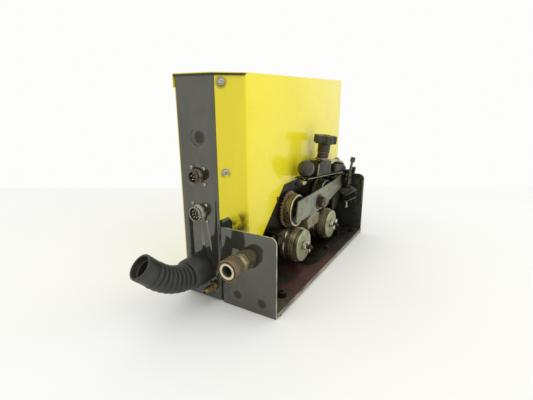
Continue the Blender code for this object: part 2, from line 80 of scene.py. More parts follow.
def place(point):
    return Vector([(value - centre) * MM for value, centre in zip(point, BASE_CENTRE)])


# ================================================================= shapes

def prism(axis, outline, low, high):
    """A flat outline extruded along one axis; the outline uses the other two, in X, Y, Z order."""
    mesh = bmesh.new()
    rings = []
    for level in (low, high):
        points = []
        for first, second in outline:
            point = {"X": (level, first, second),
                     "Y": (first, level, second),
                     "Z": (first, second, level)}[axis]
            points.append(mesh.verts.new(point))
        rings.append(points)
        mesh.faces.new(points)
    count = len(outline)
    for index in range(count):
        following = (index + 1) % count
        mesh.faces.new((rings[0][index], rings[0][following], rings[1][following], rings[1][index]))
    bmesh.ops.recalc_face_normals(mesh, faces=mesh.faces)
    return mesh


def block(x_range, y_range, z_range):
    outline = [(x_range[0], y_range[0]), (x_range[1], y_range[0]),
               (x_range[1], y_range[1]), (x_range[0], y_range[1])]
    return prism("Z", outline, *z_range)


def skin(mesh, first, second):
    """Faces between two rings, either of which may be a single point."""
    count = max(len(first), len(second))
    for index in range(count):
        following = (index + 1) % count
        corners = [first[index % len(first)], first[following % len(first)],
                   second[following % len(second)], second[index % len(second)]]
        unique = []
        for corner in corners:
            if corner not in unique:
                unique.append(corner)
        mesh.faces.new(unique)


def ring(mesh, centre, first, second, radii):
    """Vertices around a centre, one for each radius, counted from the first direction."""
    vertices = []
    for index, radius in enumerate(radii):
        angle = math.tau * index / len(radii)
        offset = first * math.cos(angle) + second * math.sin(angle)
        vertices.append(mesh.verts.new(centre + radius * offset))
    return vertices


def fluted(centre, direction, profile, flutes, depth, segments=144, start=None):
    """Turn (distance, radius, share) points about an axis, with the radius dipping into flutes.

    The shape is solid where its radius starts and ends at 0, and otherwise a closed ring.
    """
    axis = Vector(direction).normalized()
    side = start or axis.orthogonal().normalized()
    other = axis.cross(side)
    waves = [math.cos(flutes * math.tau * index / segments) for index in range(segments)]
    dips = [depth * (0.5 - 0.5 * math.tanh(2.6 * wave)) for wave in waves]
    mesh = bmesh.new()
    rings = []
    for along, radius, share in profile:
        centre_here = Vector(centre) + axis * along
        if radius == 0:
            rings.append([mesh.verts.new(centre_here)])
        else:
            rings.append(ring(mesh, centre_here, side, other, [radius - share * dip for dip in dips]))
    pairs = list(zip(rings, rings[1:]))
    if len(rings[0]) > 1:
        pairs.append((rings[-1], rings[0]))
    for first, second in pairs:
        skin(mesh, first, second)
    bmesh.ops.recalc_face_normals(mesh, faces=mesh.faces)
    return mesh


def turned(centre, direction, profile, segments=72):
    """Turn (distance along, radius) points about an axis."""
    return fluted(centre, direction, [(along, radius, 0) for along, radius in profile], 1, 0, segments)


def rod(centre, direction, low, high, radius, segments=48):
    return turned(centre, direction, [(low, 0), (low, radius), (high, radius), (high, 0)], segments)


def swept(stations, sides):
    """A closed skin through rings given as (centre, direction, side vector, radius)."""
    mesh = bmesh.new()
    rings = []
    for centre, direction, side, radius in stations:
        rings.append(ring(mesh, centre, side, direction.cross(side), [radius] * sides))
    for first, second in zip(rings, rings[1:] + rings[:1]):
        skin(mesh, first, second)
    bmesh.ops.recalc_face_normals(mesh, faces=mesh.faces)
    return mesh


def helix(centre, direction, low, high, radius, turns, wire, sides=10, per_turn=28):
    """A coil of round wire with capped ends."""
    axis = Vector(direction).normalized()
    side = axis.orthogonal().normalized()
    other = axis.cross(side)
    mesh = bmesh.new()
    rings = []
    steps = int(turns * per_turn)
    for step in range(steps + 1):
        angle = math.tau * turns * step / steps
        outward = side * math.cos(angle) + other * math.sin(angle)
        along = other * math.cos(angle) - side * math.sin(angle)
        spot = Vector(centre) + axis * (low + (high - low) * step / steps) + outward * radius
        rings.append(ring(mesh, spot, outward, along.cross(outward), [wire] * sides))
    for first, second in zip(rings, rings[1:]):
        skin(mesh, first, second)
    mesh.faces.new(rings[0])
    mesh.faces.new(rings[-1])
    bmesh.ops.recalc_face_normals(mesh, faces=mesh.faces)
    return mesh


def rounded(corners, steps=8):
    """An outline from (x, y, radius) corners, each rounded by an arc of that radius."""
    outline = []
    count = len(corners)
    for index in range(count):
        x, y, radius = corners[index]
        if radius == 0:
            outline.append((x, y))
            continue
        here = Vector((x, y))
        before = (Vector(corners[index - 1][:2]) - here).normalized()
        after = (Vector(corners[(index + 1) % count][:2]) - here).normalized()
        half = before.angle(after) / 2
        centre = here + (before + after).normalized() * (radius / math.sin(half))
        start = here + before * (radius / math.tan(half)) - centre
        sweep = math.pi - 2 * half
        if before.x * after.y - before.y * after.x > 0:
            sweep = -sweep
        for step in range(steps + 1):
            angle = sweep * step / steps
            turn_x = start.x * math.cos(angle) - start.y * math.sin(angle)
            turn_y = start.x * math.sin(angle) + start.y * math.cos(angle)
            outline.append((centre.x + turn_x, centre.y + turn_y))
    return outline


def polygon(sides, across_flats, centre, turn=0.0):
    radius = across_flats / 2 / math.cos(math.pi / sides)
    return [(centre[0] + radius * math.cos(turn + math.tau * index / sides),
             centre[1] + radius * math.sin(turn + math.tau * index / sides)) for index in range(sides)]


def joined(shapes):
    """Several closed shapes kept as separate bodies of one mesh."""
    whole = bmesh.new()
    for shape in shapes:
        data = bpy.data.meshes.new("part")
        shape.to_mesh(data)
        shape.free()
        whole.from_mesh(data)
        bpy.data.meshes.remove(data)
    return whole


# ================================================================= materials

class Graph:
    """A short way to write one material's nodes."""

    def __init__(self, name):
        self.material = bpy.data.materials.new(name)
        self.material.use_nodes = True
        self.tree = self.material.node_tree
        self.shader = self.tree.nodes["Principled BSDF"]
        self.coordinates = self.tree.nodes.new("ShaderNodeTexCoord").outputs["Object"]

    def link(self, source, target):
        self.tree.links.new(source, target)

    def noise(self, scale, detail=6.0, roughness=0.6, stretch=None):
        node = self.tree.nodes.new("ShaderNodeTexNoise")
        node.inputs["Scale"].default_value = scale
        node.inputs["Detail"].default_value = detail
        node.inputs["Roughness"].default_value = roughness
        source = self.coordinates
        if stretch:
            mapping = self.tree.nodes.new("ShaderNodeMapping")
            mapping.inputs["Scale"].default_value = stretch
            self.link(self.coordinates, mapping.inputs["Vector"])
            source = mapping.outputs["Vector"]
        self.link(source, node.inputs["Vector"])
        return node.outputs["Fac"]

    def scratches(self, scale, stretch):
        node = self.tree.nodes.new("ShaderNodeTexVoronoi")
        node.feature = "DISTANCE_TO_EDGE"
        node.inputs["Scale"].default_value = scale
        mapping = self.tree.nodes.new("ShaderNodeMapping")
        mapping.inputs["Scale"].default_value = stretch
        mapping.inputs["Rotation"].default_value = (0.4, 0.3, 0.5)
        self.link(self.coordinates, mapping.inputs["Vector"])
        self.link(mapping.outputs["Vector"], node.inputs["Vector"])
        return node.outputs["Distance"]

    def window(self, value, low, high, out_low=0.0, out_high=1.0):
        node = self.tree.nodes.new("ShaderNodeMapRange")
        node.interpolation_type = "SMOOTHSTEP"
        node.inputs["From Min"].default_value = low
        node.inputs["From Max"].default_value = high
        node.inputs["To Min"].default_value = out_low
        node.inputs["To Max"].default_value = out_high
        self.link(value, node.inputs["Value"])
        return node.outputs["Result"]

    def math(self, operation, first, second):
        node = self.tree.nodes.new("ShaderNodeMath")
        node.operation = operation
        for socket, value in zip(node.inputs, (first, second)):
            if isinstance(value, (int, float)):
                socket.default_value = value
            else:
                self.link(value, socket)
        return node.outputs["Value"]

    def axis(self, name):
        node = self.tree.nodes.new("ShaderNodeSeparateXYZ")
        self.link(self.coordinates, node.inputs["Vector"])
        return node.outputs[name]

    def near(self, point, low, high):
        """1 close to a workshop point, fading to 0 between two distances in millimetres."""
        node = self.tree.nodes.new("ShaderNodeVectorMath")
        node.operation = "DISTANCE"
        self.link(self.coordinates, node.inputs[0])
        node.inputs[1].default_value = place(point)
        return self.window(node.outputs["Value"], low * MM, high * MM, 1.0, 0.0)

    def mix(self, mask, first, second):
        node = self.tree.nodes.new("ShaderNodeMix")
        node.data_type = "RGBA"
        self.link(mask, node.inputs["Factor"])
        for socket, value in ((node.inputs[6], first), (node.inputs[7], second)):
            if isinstance(value, tuple):
                socket.default_value = (*value, 1.0)
            else:
                self.link(value, socket)
        return node.outputs[2]

    def edge_faces(self, axis_name):
        """1 on faces that don't look along the named axis: the cut edges of a sheet."""
        geometry = self.tree.nodes.new("ShaderNodeNewGeometry")
        parts = self.tree.nodes.new("ShaderNodeSeparateXYZ")
        self.link(geometry.outputs["Normal"], parts.inputs["Vector"])
        size = self.math("ABSOLUTE", parts.outputs[axis_name], 0.0)
        return self.window(size, 0.55, 0.9, 1.0, 0.0)

    def both(self, first, second):
        return self.math("MULTIPLY", first, second)

    def stain(self, mask, share, under, over):
        """A second colour laid over the first where the mask is high, up to a share."""
        return self.mix(self.both(mask, share), under, over)

    def roughness(self, noise, low, high, out_low, out_high):
        self.link(self.window(self.noise(*noise), low, high, out_low, out_high),
                  self.shader.inputs["Roughness"])

    def colour(self, value):
        if isinstance(value, tuple):
            self.shader.inputs["Base Color"].default_value = (*value, 1.0)
        else:
            self.link(value, self.shader.inputs["Base Color"])

    def bump(self, height, strength, distance):
        node = self.tree.nodes.new("ShaderNodeBump")
        node.inputs["Strength"].default_value = strength
        node.inputs["Distance"].default_value = distance
        self.link(height, node.inputs["Height"])
        self.link(node.outputs["Normal"], self.shader.inputs["Normal"])

    def finish(self, metallic=0.0, coat=0.0, specular=0.5, coat_roughness=0.1, tint=None):
        self.shader.inputs["Metallic"].default_value = metallic
        self.shader.inputs["Coat Weight"].default_value = coat
        self.shader.inputs["Coat Roughness"].default_value = coat_roughness
        self.shader.inputs["Specular IOR Level"].default_value = specular
        if tint:
            self.shader.inputs["Specular Tint"].default_value = (*tint, 1.0)
        return self.material


YELLOW = (0.86, 0.745, 0.022)
YELLOW_DULL = (0.81, 0.685, 0.018)
# Darker strip yellow: painted shade, as the chamfered strip faces away from the light.
YELLOW_STRIP_SHADE = (0.70, 0.585, 0.010)
DIRT = (0.075, 0.045, 0.010)


def yellow_paint():
    g = Graph("yellow_paint")
    broad = g.noise(7, 4, 0.5)
    paint = g.mix(g.window(broad, 0.35, 0.75), YELLOW, YELLOW_DULL)
    # Painted shade: within about 33 mm of the front face the paint takes the darker strip yellow.
    strip_shade_mask = g.window(g.axis("Y"), place((0, 33, 0)).y, place((0, 36.3, 0)).y, 1.0, 0.0)
    paint = g.mix(strip_shade_mask, paint, YELLOW_STRIP_SHADE)
    smear = g.window(g.noise(22, 6, 0.6, (1.0, 1.0, 0.35)), 0.62, 0.8)
    paint = g.stain(smear, 0.2, paint, (0.80, 0.76, 0.16))
    chips = g.both(g.window(g.noise(75, 3, 0.5), 0.72, 0.75), g.window(broad, 0.5, 0.62))
    paint = g.stain(chips, 0.4, paint, (0.34, 0.28, 0.12))
    cloud = g.window(g.noise(60, 5, 0.6, (1, 1, 0.7)), 0.30, 0.56)
    grime = g.both(g.near((93, 26, 133), 7, 24), cloud)
    screws = g.math("MAXIMUM", g.near((77.6, 9.8, 346), 4, 11), g.near((79.2, 11.4, 215.5), 4, 10))
    dirty = g.math("MAXIMUM", grime, g.both(screws, g.both(cloud, 0.85)))
    paint = g.mix(dirty, paint, DIRT)
    oily = g.both(g.near((103.4, 215, 150), 30, 115), g.window(g.noise(14, 6, 0.6), 0.40, 0.72))
    paint = g.stain(oily, 0.4, paint, (0.62, 0.50, 0.008))
    g.colour(paint)
    g.roughness((40, 4, 0.6), 0.3, 0.8, 0.20, 0.32)
    g.bump(g.noise(60, 2, 0.5), 0.02, 0.0003)
    return g.finish(coat=0.35, specular=0.35, coat_roughness=0.07)


def black_paint(name="black_paint", edge_axis=None, shaded_dents=(), edge_wear_and_highlight=(0.30, 0.52)):
    """Gloss black paint with dust, streaks, pale cut edges across one axis (bare-edge wear and a painted
    highlight) and darker dents (painted shade).
    """
    g = Graph(name)
    broad = g.noise(14, 6, 0.6)
    paint = g.mix(g.window(broad, 0.35, 0.75), (0.022, 0.023, 0.018), (0.040, 0.041, 0.031))
    dust = g.window(g.noise(60, 6, 0.7, (1, 1, 0.5)), 0.55, 0.85)
    paint = g.stain(dust, 0.2, paint, (0.11, 0.105, 0.08))
    streak = g.window(g.scratches(24, (7, 7, 0.6)), 0.0, 0.010, 1.0, 0.0)
    streak = g.both(streak, g.window(g.noise(20, 4, 0.5), 0.58, 0.68))
    paint = g.stain(streak, 0.35, paint, (0.20, 0.19, 0.15))
    # Pale cut edges: bare-edge wear plus a painted highlight for the sheet edges catching light.
    if edge_axis:
        worn = g.both(g.edge_faces(edge_axis), g.window(g.noise(50, 5, 0.6), *edge_wear_and_highlight))
        paint = g.mix(worn, paint, (0.42, 0.39, 0.29))
    g.colour(paint)
    g.roughness((70, 5, 0.6), 0.3, 0.8, 0.06, 0.14)
    g.bump(g.noise(30, 2, 0.5), 0.02, 0.0004)
    material = g.finish(coat=0.6, specular=0.85, coat_roughness=0.03, tint=(1.0, 0.99, 0.82))
    # Painted shade: shine and coat are cut near the dents so the dishes read darker.
    if shaded_dents:
        shade = g.near(*shaded_dents[0])
        for dent in shaded_dents[1:]:
            shade = g.math("MAXIMUM", shade, g.near(*dent))
        g.link(g.window(shade, 0.0, 1.0, 0.85, 0.22), g.shader.inputs["Specular IOR Level"])
        g.link(g.window(shade, 0.0, 1.0, 0.6, 0.1), g.shader.inputs["Coat Weight"])
    return material


def metal(name, base, dark, rough=(0.3, 0.6), metallic=0.85, patch=40.0, spread=(0.4, 0.7), rust=0.0,
          bump=0.25, tint_noise=140.0, speck=0.45):
    """Worn metal: a base colour with dark patches, fine specks and some rust, over a fine bump."""
    g = Graph(name)
    patches = g.window(g.noise(patch, 8, 0.65), *spread)
    colour = g.mix(patches, base, dark)
    specks = g.window(g.noise(tint_noise, 4, 0.6), 0.5, 0.75)
    colour = g.stain(specks, speck, colour, tuple(value * 0.45 for value in base))
    if rust:
        rusty = g.both(g.window(g.noise(patch * 1.7, 8, 0.7), 0.5, 0.68), rust)
        colour = g.mix(rusty, colour, (0.15, 0.065, 0.025))
    g.colour(colour)
    g.roughness((patch * 2.2, 6, 0.6), 0.3, 0.75, *rough)
    g.bump(g.noise(tint_noise * 3, 5, 0.6), bump, 0.0005)
    return g.finish(metallic=metallic)


def board_material():
    g = Graph("board")
    edge = g.edge_faces("Z")
    red = g.window(g.noise(18, 6, 0.6, (1.0, 0.5, 1.0)), 0.52, 0.66)
    colour = g.stain(red, 0.75, (0.021, 0.016, 0.013), (0.075, 0.016, 0.012))
    worn = g.window(g.noise(75, 6, 0.7), 0.5, 0.75)
    colour = g.stain(worn, 0.35, colour, (0.075, 0.055, 0.038))
    layers = g.window(g.noise(45, 6, 0.7, (1, 0.4, 3.0)), 0.42, 0.60)
    tan = g.mix(layers, (0.27, 0.235, 0.14), (0.040, 0.030, 0.018))
    g.colour(g.mix(edge, colour, tan))
    g.roughness((40, 6, 0.6), 0.3, 0.75, 0.22, 0.55)
    g.bump(g.noise(220, 5, 0.6), 0.3, 0.0006)
    return g.finish(specular=0.5, coat=0.05)


def rubber():
    g = Graph("rubber")
    dust = g.window(g.noise(45, 6, 0.65), 0.42, 0.78)
    colour = g.stain(dust, 0.55, (0.017, 0.018, 0.016), (0.055, 0.056, 0.047))
    g.colour(colour)
    g.roughness((90, 5, 0.6), 0.3, 0.8, 0.42, 0.62)
    g.bump(g.noise(500, 4, 0.6), 0.18, 0.0004)
    return g.finish(specular=0.55, tint=(1.0, 0.99, 0.84))


def plastic(name, base, rough=(0.3, 0.5), dust_amount=0.35):
    g = Graph(name)
    dust = g.window(g.noise(70, 6, 0.7), 0.45, 0.8)
    g.colour(g.stain(dust, dust_amount, base, (0.14, 0.135, 0.12)))
    g.roughness((120, 5, 0.6), 0.3, 0.8, *rough)
    g.bump(g.noise(400, 4, 0.6), 0.12, 0.0004)
    return g.finish(specular=0.5, tint=(1.0, 0.98, 0.80))


M = {
    "yellow": yellow_paint(),
    # Front panel paint: painted shade at the dimple.
    "black": black_paint(shaded_dents=(((40.5, 0.5, 268.2), 6, 14),)),
    # Front bracket: pale cut edges (wear and painted highlight) and painted shade at the knockouts.
    "bracket": black_paint("black_paint_worn_lit_edge", "Y",
                           (((103.2, 0.5, 22), 6, 9), ((148.7, 0.5, 19.5), 6, 9))),
    "dark": metal("greasy_casting", (0.041, 0.040, 0.021), (0.019, 0.018, 0.010), (0.28, 0.55), 0.85, 38,
                  (0.35, 0.65), 0.2, 0.4),
    # Rear bracket: pale cut edges, partly wear and partly painted highlight.
    "rear_bracket": black_paint("black_paint_bare_lit_edge", "Y", edge_wear_and_highlight=(0.18, 0.42)),
    "plate": metal("drive_plate_grease", (0.042, 0.040, 0.028), (0.016, 0.015, 0.010), (0.28, 0.5), 0.8, 22,
                   (0.3, 0.55), 0.15, 0.25),
    "gear": metal("gear_steel", (0.20, 0.18, 0.125), (0.045, 0.035, 0.024), (0.28, 0.5), 0.85, 70,
                  (0.42, 0.62), 0.35, 0.4),
    "roll": metal("roll_steel", (0.44, 0.38, 0.25), (0.12, 0.098, 0.066), (0.24, 0.45), 0.85, 48,
                  (0.48, 0.72), 0.3, 0.25),
    "arm": metal("arm_plate", (0.235, 0.25, 0.18), (0.12, 0.125, 0.088), (0.34, 0.58), 0.35, 24,
                 (0.48, 0.75), 0.15, 0.15),
    "zinc": metal("zinc_plate", (0.58, 0.55, 0.34), (0.30, 0.26, 0.13), (0.3, 0.5), 0.75, 60,
                  (0.5, 0.75), 0.25, 0.25),
    "bright": metal("bright_steel", (0.62, 0.61, 0.54), (0.28, 0.26, 0.21), (0.2, 0.42), 0.95, 90,
                    (0.5, 0.8), 0.12, 0.15),
    "rust": metal("brown_steel", (0.235, 0.165, 0.115), (0.10, 0.058, 0.036), (0.35, 0.6), 0.6, 60,
                  (0.42, 0.7), 0.5, 0.4),
    "brass": metal("tarnished_brass", (0.36, 0.26, 0.11), (0.10, 0.065, 0.028), (0.24, 0.46), 0.9, 90,
                   (0.40, 0.64), 0.0, 0.25),
    "board": board_material(),
    "rubber": rubber(),
    "plastic": plastic("black_plastic", (0.021, 0.020, 0.015)),
    "ball": plastic("ball_plastic", (0.028, 0.028, 0.023), (0.30, 0.42), 0.35),
    "insert": plastic("socket_insert", (0.012, 0.011, 0.010), (0.3, 0.5), 0.15),
    "circuit": plastic("circuit_board", (0.015, 0.09, 0.035), (0.3, 0.45), 0.2),
    "olive": metal("olive_steel", (0.12, 0.105, 0.06), (0.05, 0.042, 0.024), (0.35, 0.6), 0.5, 60,
                   (0.4, 0.7), 0.3, 0.35),
    "dark_ring": metal("brown_ring", (0.22, 0.18, 0.12), (0.05, 0.035, 0.025), (0.3, 0.5), 0.8, 90,
                       (0.4, 0.65), 0.4, 0.3),
    "pin": metal("contact_pin", (0.75, 0.68, 0.52), (0.35, 0.28, 0.16), (0.15, 0.3), 1.0, 200,
                 (0.55, 0.8), 0.0, 0.1),
    "ring": metal("coupler_ring", (0.66, 0.60, 0.40), (0.34, 0.29, 0.17), (0.22, 0.4), 0.85, 110,
                  (0.5, 0.8), 0.1, 0.15),
    "nut": metal("yellow_zinc", (0.60, 0.53, 0.27), (0.28, 0.21, 0.09), (0.25, 0.45), 0.7, 90,
                 (0.45, 0.75), 0.25, 0.25),
    "sleeve": metal("brown_sleeve", (0.21, 0.145, 0.092), (0.10, 0.082, 0.05), (0.34, 0.55), 0.45, 42,
                    (0.36, 0.66), 0.25, 0.3),
    "disc": metal("green_zinc", (0.40, 0.41, 0.25), (0.19, 0.175, 0.085), (0.28, 0.48), 0.6, 45,
                  (0.46, 0.72), 0.15, 0.2),
    "roll_dark": metal("roll_grease", (0.40, 0.355, 0.25), (0.085, 0.07, 0.05), (0.24, 0.45), 0.85, 26,
                       (0.44, 0.66), 0.2, 0.25),
    "tooth": metal("tooth_rust", (0.36, 0.27, 0.16), (0.10, 0.07, 0.045), (0.3, 0.5), 0.8, 110,
                   (0.45, 0.7), 0.45, 0.3),
    "tan": metal("tan_steel", (0.27, 0.24, 0.135), (0.13, 0.11, 0.058), (0.35, 0.55), 0.4, 45,
                 (0.42, 0.72), 0.2, 0.3),
    # Ridge and groove finishes are lit and shaded copies of the roll steel: painted highlight on crests,
    # painted shade in grooves.
    "ridge_highlight": metal("roll_ridge", (0.60, 0.52, 0.34), (0.30, 0.25, 0.16), (0.22, 0.4), 0.9, 12,
                   (0.50, 0.75), 0.0, 0.1, speck=0.0),
    "groove_shade": metal("roll_groove", (0.045, 0.036, 0.024), (0.025, 0.02, 0.014), (0.35, 0.6), 0.7, 20,
                    (0.4, 0.7), 0.0, 0.1, speck=0.0),
    "socket": metal("socket_alloy", (0.36, 0.35, 0.28), (0.13, 0.125, 0.095), (0.25, 0.48), 0.9, 90,
                    (0.45, 0.7), 0.15, 0.25),
    "bolt": metal("bolt_rust", (0.095, 0.066, 0.040), (0.036, 0.028, 0.018), (0.4, 0.65), 0.6, 90,
                  (0.4, 0.65), 0.35, 0.5),
    "strap": metal("strap_steel", (0.52, 0.50, 0.30), (0.24, 0.21, 0.11), (0.22, 0.42), 0.8, 50,
                   (0.45, 0.7), 0.2, 0.25),
    "clamp": metal("clamp_plate", (0.115, 0.118, 0.088), (0.05, 0.05, 0.038), (0.34, 0.58), 0.3, 30,
                   (0.45, 0.72), 0.15, 0.2),
    "spring": metal("spring_steel", (0.10, 0.09, 0.075), (0.03, 0.026, 0.022), (0.3, 0.5), 0.8, 120,
                    (0.4, 0.7), 0.3, 0.3),
    "screw": metal("screw_steel", (0.44, 0.43, 0.36), (0.17, 0.16, 0.13), (0.22, 0.45), 0.9, 150,
                   (0.5, 0.8), 0.15, 0.2),
}

CAD_FINISH = {
    "yellow": ["left_panel", "cover"],
    "black": ["base_tray", "front_panel", "rear_panel", "drive_motor"],
    "bracket": ["front_bracket"],
    "rear_bracket": ["rear_bracket"],
    "plate": ["drive_plate", "drive_foot"],
    "dark": ["outlet_block", "inlet_block", "pivot_bracket", "pressure_block", "release_lever",
             "socket_small_shell", "socket_large_shell"],
    "gear": ["drive_gear", "lower_front_gear", "lower_rear_gear", "upper_front_gear", "upper_rear_gear"],
    "roll": ["gearbox", "lower_front_roll", "lower_rear_roll", "upper_front_roll", "upper_rear_roll",
             "top_strap", "centre_guide"],
    "arm": ["roller_arm"],
    "bright": ["coupler_body", "pivot_pin", "pressure_rod", "tension_spring", "lower_front_axle",
               "lower_rear_axle", "upper_front_axle", "upper_rear_axle"],
    "zinc": ["lower_front_disc", "lower_rear_disc", "lower_front_wing_screw", "lower_rear_wing_screw",
             "ball_stud"],
    "rust": ["coupler_nut", "coupler_sleeve", "arm_bolt", "stop_screw"],
    "brass": ["gas_valve", "gas_nipple", "outlet_guide", "inlet_guide"],
    "rubber": ["cable_boot"],
    "plastic": ["boot_lock_ring", "tension_knob"],
    "ball": ["ball_knob"],
    "insert": ["socket_small_insert", "socket_large_insert"],
    "board": ["base_board"],
    "circuit": ["control_board"],
}
BODY_OF = {node: body for body, nodes in frame["record"]["behaviour"]["bodies"].items() for node in nodes}

for finish_name, node_names in CAD_FINISH.items():
    for node_name in node_names:
        item = frame["nodes"][node_name]
        item.data.materials.clear()
        item.data.materials.append(M[finish_name])


# ================================================================= pieces

def as_object(name, mesh):
    """A scene object from a mesh in workshop millimetres."""
    for vertex in mesh.verts:
        vertex.co = place(vertex.co)
    data = bpy.data.meshes.new(name)
    mesh.to_mesh(data)
    mesh.free()
    item = bpy.data.objects.new(name, data)
    bpy.context.scene.collection.objects.link(item)
    return item


def piece(name, mesh, finish, body, replaces=(), bevel=0.0, smooth=32.0, cuts=(), bevel_steps=2):
    """One visible piece from a mesh in workshop millimetres, riding on a body."""
    item = as_object(name, mesh)
    for shape in cuts:
        carve(item, shape)
    if bevel:
        add_bevel(item, bevel, bevel_steps)
    data = item.data
    data.shade_smooth()
    data.set_sharp_from_angle(angle=math.radians(smooth))
    data.materials.clear()
    data.materials.append(M[finish])
    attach(item, body)
    if replaces:
        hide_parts(*replaces)
    return item


def apply_modifiers(item):
    depsgraph = bpy.context.evaluated_depsgraph_get()
    result = bpy.data.meshes.new_from_object(item.evaluated_get(depsgraph))
    item.modifiers.clear()
    item.data = result


def carve(item, shape):
    tool = as_object("cutter", shape)
    modifier = item.modifiers.new("cut", "BOOLEAN")
    modifier.object = tool
    modifier.operation = "DIFFERENCE"
    bpy.context.view_layer.update()
    apply_modifiers(item)
    bpy.data.objects.remove(tool)


def add_bevel(item, width, steps=2):
    modifier = item.modifiers.new("edge", "BEVEL")
    modifier.width = width * MM
    modifier.segments = steps
    modifier.limit_method = "ANGLE"
    modifier.angle_limit = BEVEL_ANGLE
    modifier.harden_normals = False
    bpy.context.view_layer.update()
    apply_modifiers(item)


def refined(node, finish, bevel=0.5, smooth=34.0, name=None, cuts=(), steps=2):
    """A CAD node's own shape with its flat faces cleaned and its edges broken."""
    source = frame["nodes"][node]
    mesh = bmesh.new()
    mesh.from_mesh(source.data)
    bmesh.ops.remove_doubles(mesh, verts=mesh.verts, dist=WELD_DISTANCE)
    bmesh.ops.dissolve_limit(mesh, angle_limit=FLAT_ANGLE, verts=mesh.verts, edges=mesh.edges)
    for vertex in mesh.verts:
        vertex.co = Vector(to_mm(vertex.co))
    return piece(name or node + "_shown", mesh, finish, BODY_OF[node], (node,), bevel, smooth, cuts, steps)


def dome_screw(name, centre, direction, radius, body="frame", finish="screw", height=None, washer=0.0):
    """Domed cap screw with a hexagon socket."""
    height = height or radius * 0.75
    floor = height * 0.12
    profile = [(0, 0), (0, radius)]
    for step in range(7):
        angle = math.pi / 2 * step / 6
        profile.append((height * (0.2 + 0.8 * math.sin(angle)), radius * (0.45 + 0.55 * math.cos(angle))))
    profile += [(height, radius * 0.44), (floor + 0.1, radius * 0.42), (floor, 0)]
    shapes = [turned(centre, direction, profile, 36)]
    if washer:
        shapes.append(turned(centre, direction, [(-0.1, 0), (-0.1, washer), (0.5, washer), (0.5, 0)], 36))
    return piece(name, joined(shapes), finish, body)


def hex_bolt(name, centre, axis_name, direction, flats, height, body="frame", finish="dark", turn=0.2):
    """Hexagon head on a washer, standing on a face that looks along +X, +Y or +Z (or against it)."""
    axis_index = "XYZ".index(axis_name)
    vector = [0.0, 0.0, 0.0]
    vector[axis_index] = direction
    others = [value for index, value in enumerate(centre) if index != axis_index]
    level = centre[axis_index]
    head = prism(axis_name, polygon(6, flats, others, turn),
                 *sorted((level + 1.2 * direction, level + (1.2 + height) * direction)))
    washer = turned(centre, vector, [(-0.1, 0), (-0.1, flats * 0.85), (1.2, flats * 0.85), (1.2, 0)], 40)
    return piece(name, joined([head, washer]), finish, body, bevel=0.35)


def tube(centre, direction, low, high, inner, outer, segments=72):
    return turned(centre, direction, [(low, inner), (low, outer), (high, outer), (high, inner)], segments)


def dish(centre, direction, radius, depth):
    """A shallow bowl-shaped cutter that starts just outside a face."""
    profile = [(-1, 0), (-1, radius + 0.4), (0, radius)]
    for step in range(1, 7):
        share = step / 6
        profile.append((depth * math.sin(share * math.pi / 2), radius * (1 - share) ** 0.7))
    return turned(centre, direction, profile, 56)


# ================================================================= enclosure

def build_cover():
    low, high = span("cover")
    flange_cut = block((low[0] - 1, low[0] + 1.25), (low[1] - 1, high[1] + 1),
                       (high[2] - 30, high[2] - 1.21))
    notch = prism("Y", [(66, 120), (66, 139), (80.5, 146), (84.5, 138), (85, 120)], -5, 32)
    corner = turned((high[0], 35.5, high[2]), PLUS_Z, [(-2.5, 0), (-2.5, 2.6), (2, 2.6), (2, 0)], 24)
    refined("cover", "yellow", 0.45, cuts=(flange_cut, notch, corner), steps=3)
    edge = high[2] - 1.25
    left = low[0] + 0.1
    # Painted shade: a thin black band under the lid's front edge stands in for the shadow beneath the
    # overhang.
    shade_band_outline = [(left, -2.7), (70.3, -2.7), (102.6, 29.6), (102.6, 35.2), (70.4, 2.6), (left, 1.2)]
    piece("cover_front_shade_band", prism("Z", shade_band_outline, edge - 3.0, edge), "insert", "frame", bevel=0.3)
    flange = block((low[0] - 1.2, low[0] - 0.05), (-2.6, high[1]), (edge - 19, edge + 0.9))
    piece("cover_left_flange", flange, "yellow", "frame", bevel=0.4)
    backing = [(72, 7.2), (99.2, 34.8), (98.4, 35.6), (71.2, 8)]
    piece("strip_backing", prism("Z", backing, 20, 354), "black", "frame", bevel=0.2)
    slope = Vector((1, -1, 0)).normalized()
    skirt = [(84.6, 17.1), (102.3, 35.2), (101.4, 36.1), (83.7, 18.0)]
    piece("cover_strip_skirt", prism("Z", skirt, 112, 132.2), "yellow", "frame", bevel=0.2)
    for index, (x, z) in enumerate(((77.3, 348.0), (78.9, 217.4))):
        y = 3.0 + (x - 70.9) * 33 / 32.5
        dome_screw("strip_screw_" + str(index), (x, y, z), slope, 4.6, height=3.2, washer=5.4)
    for index, y in enumerate((40, 215, 390)):
        dome_screw("lid_screw_" + str(index), (low[0] - 0.7, y, edge - 10), (-1, 0, 0), 3.4, height=0.85)


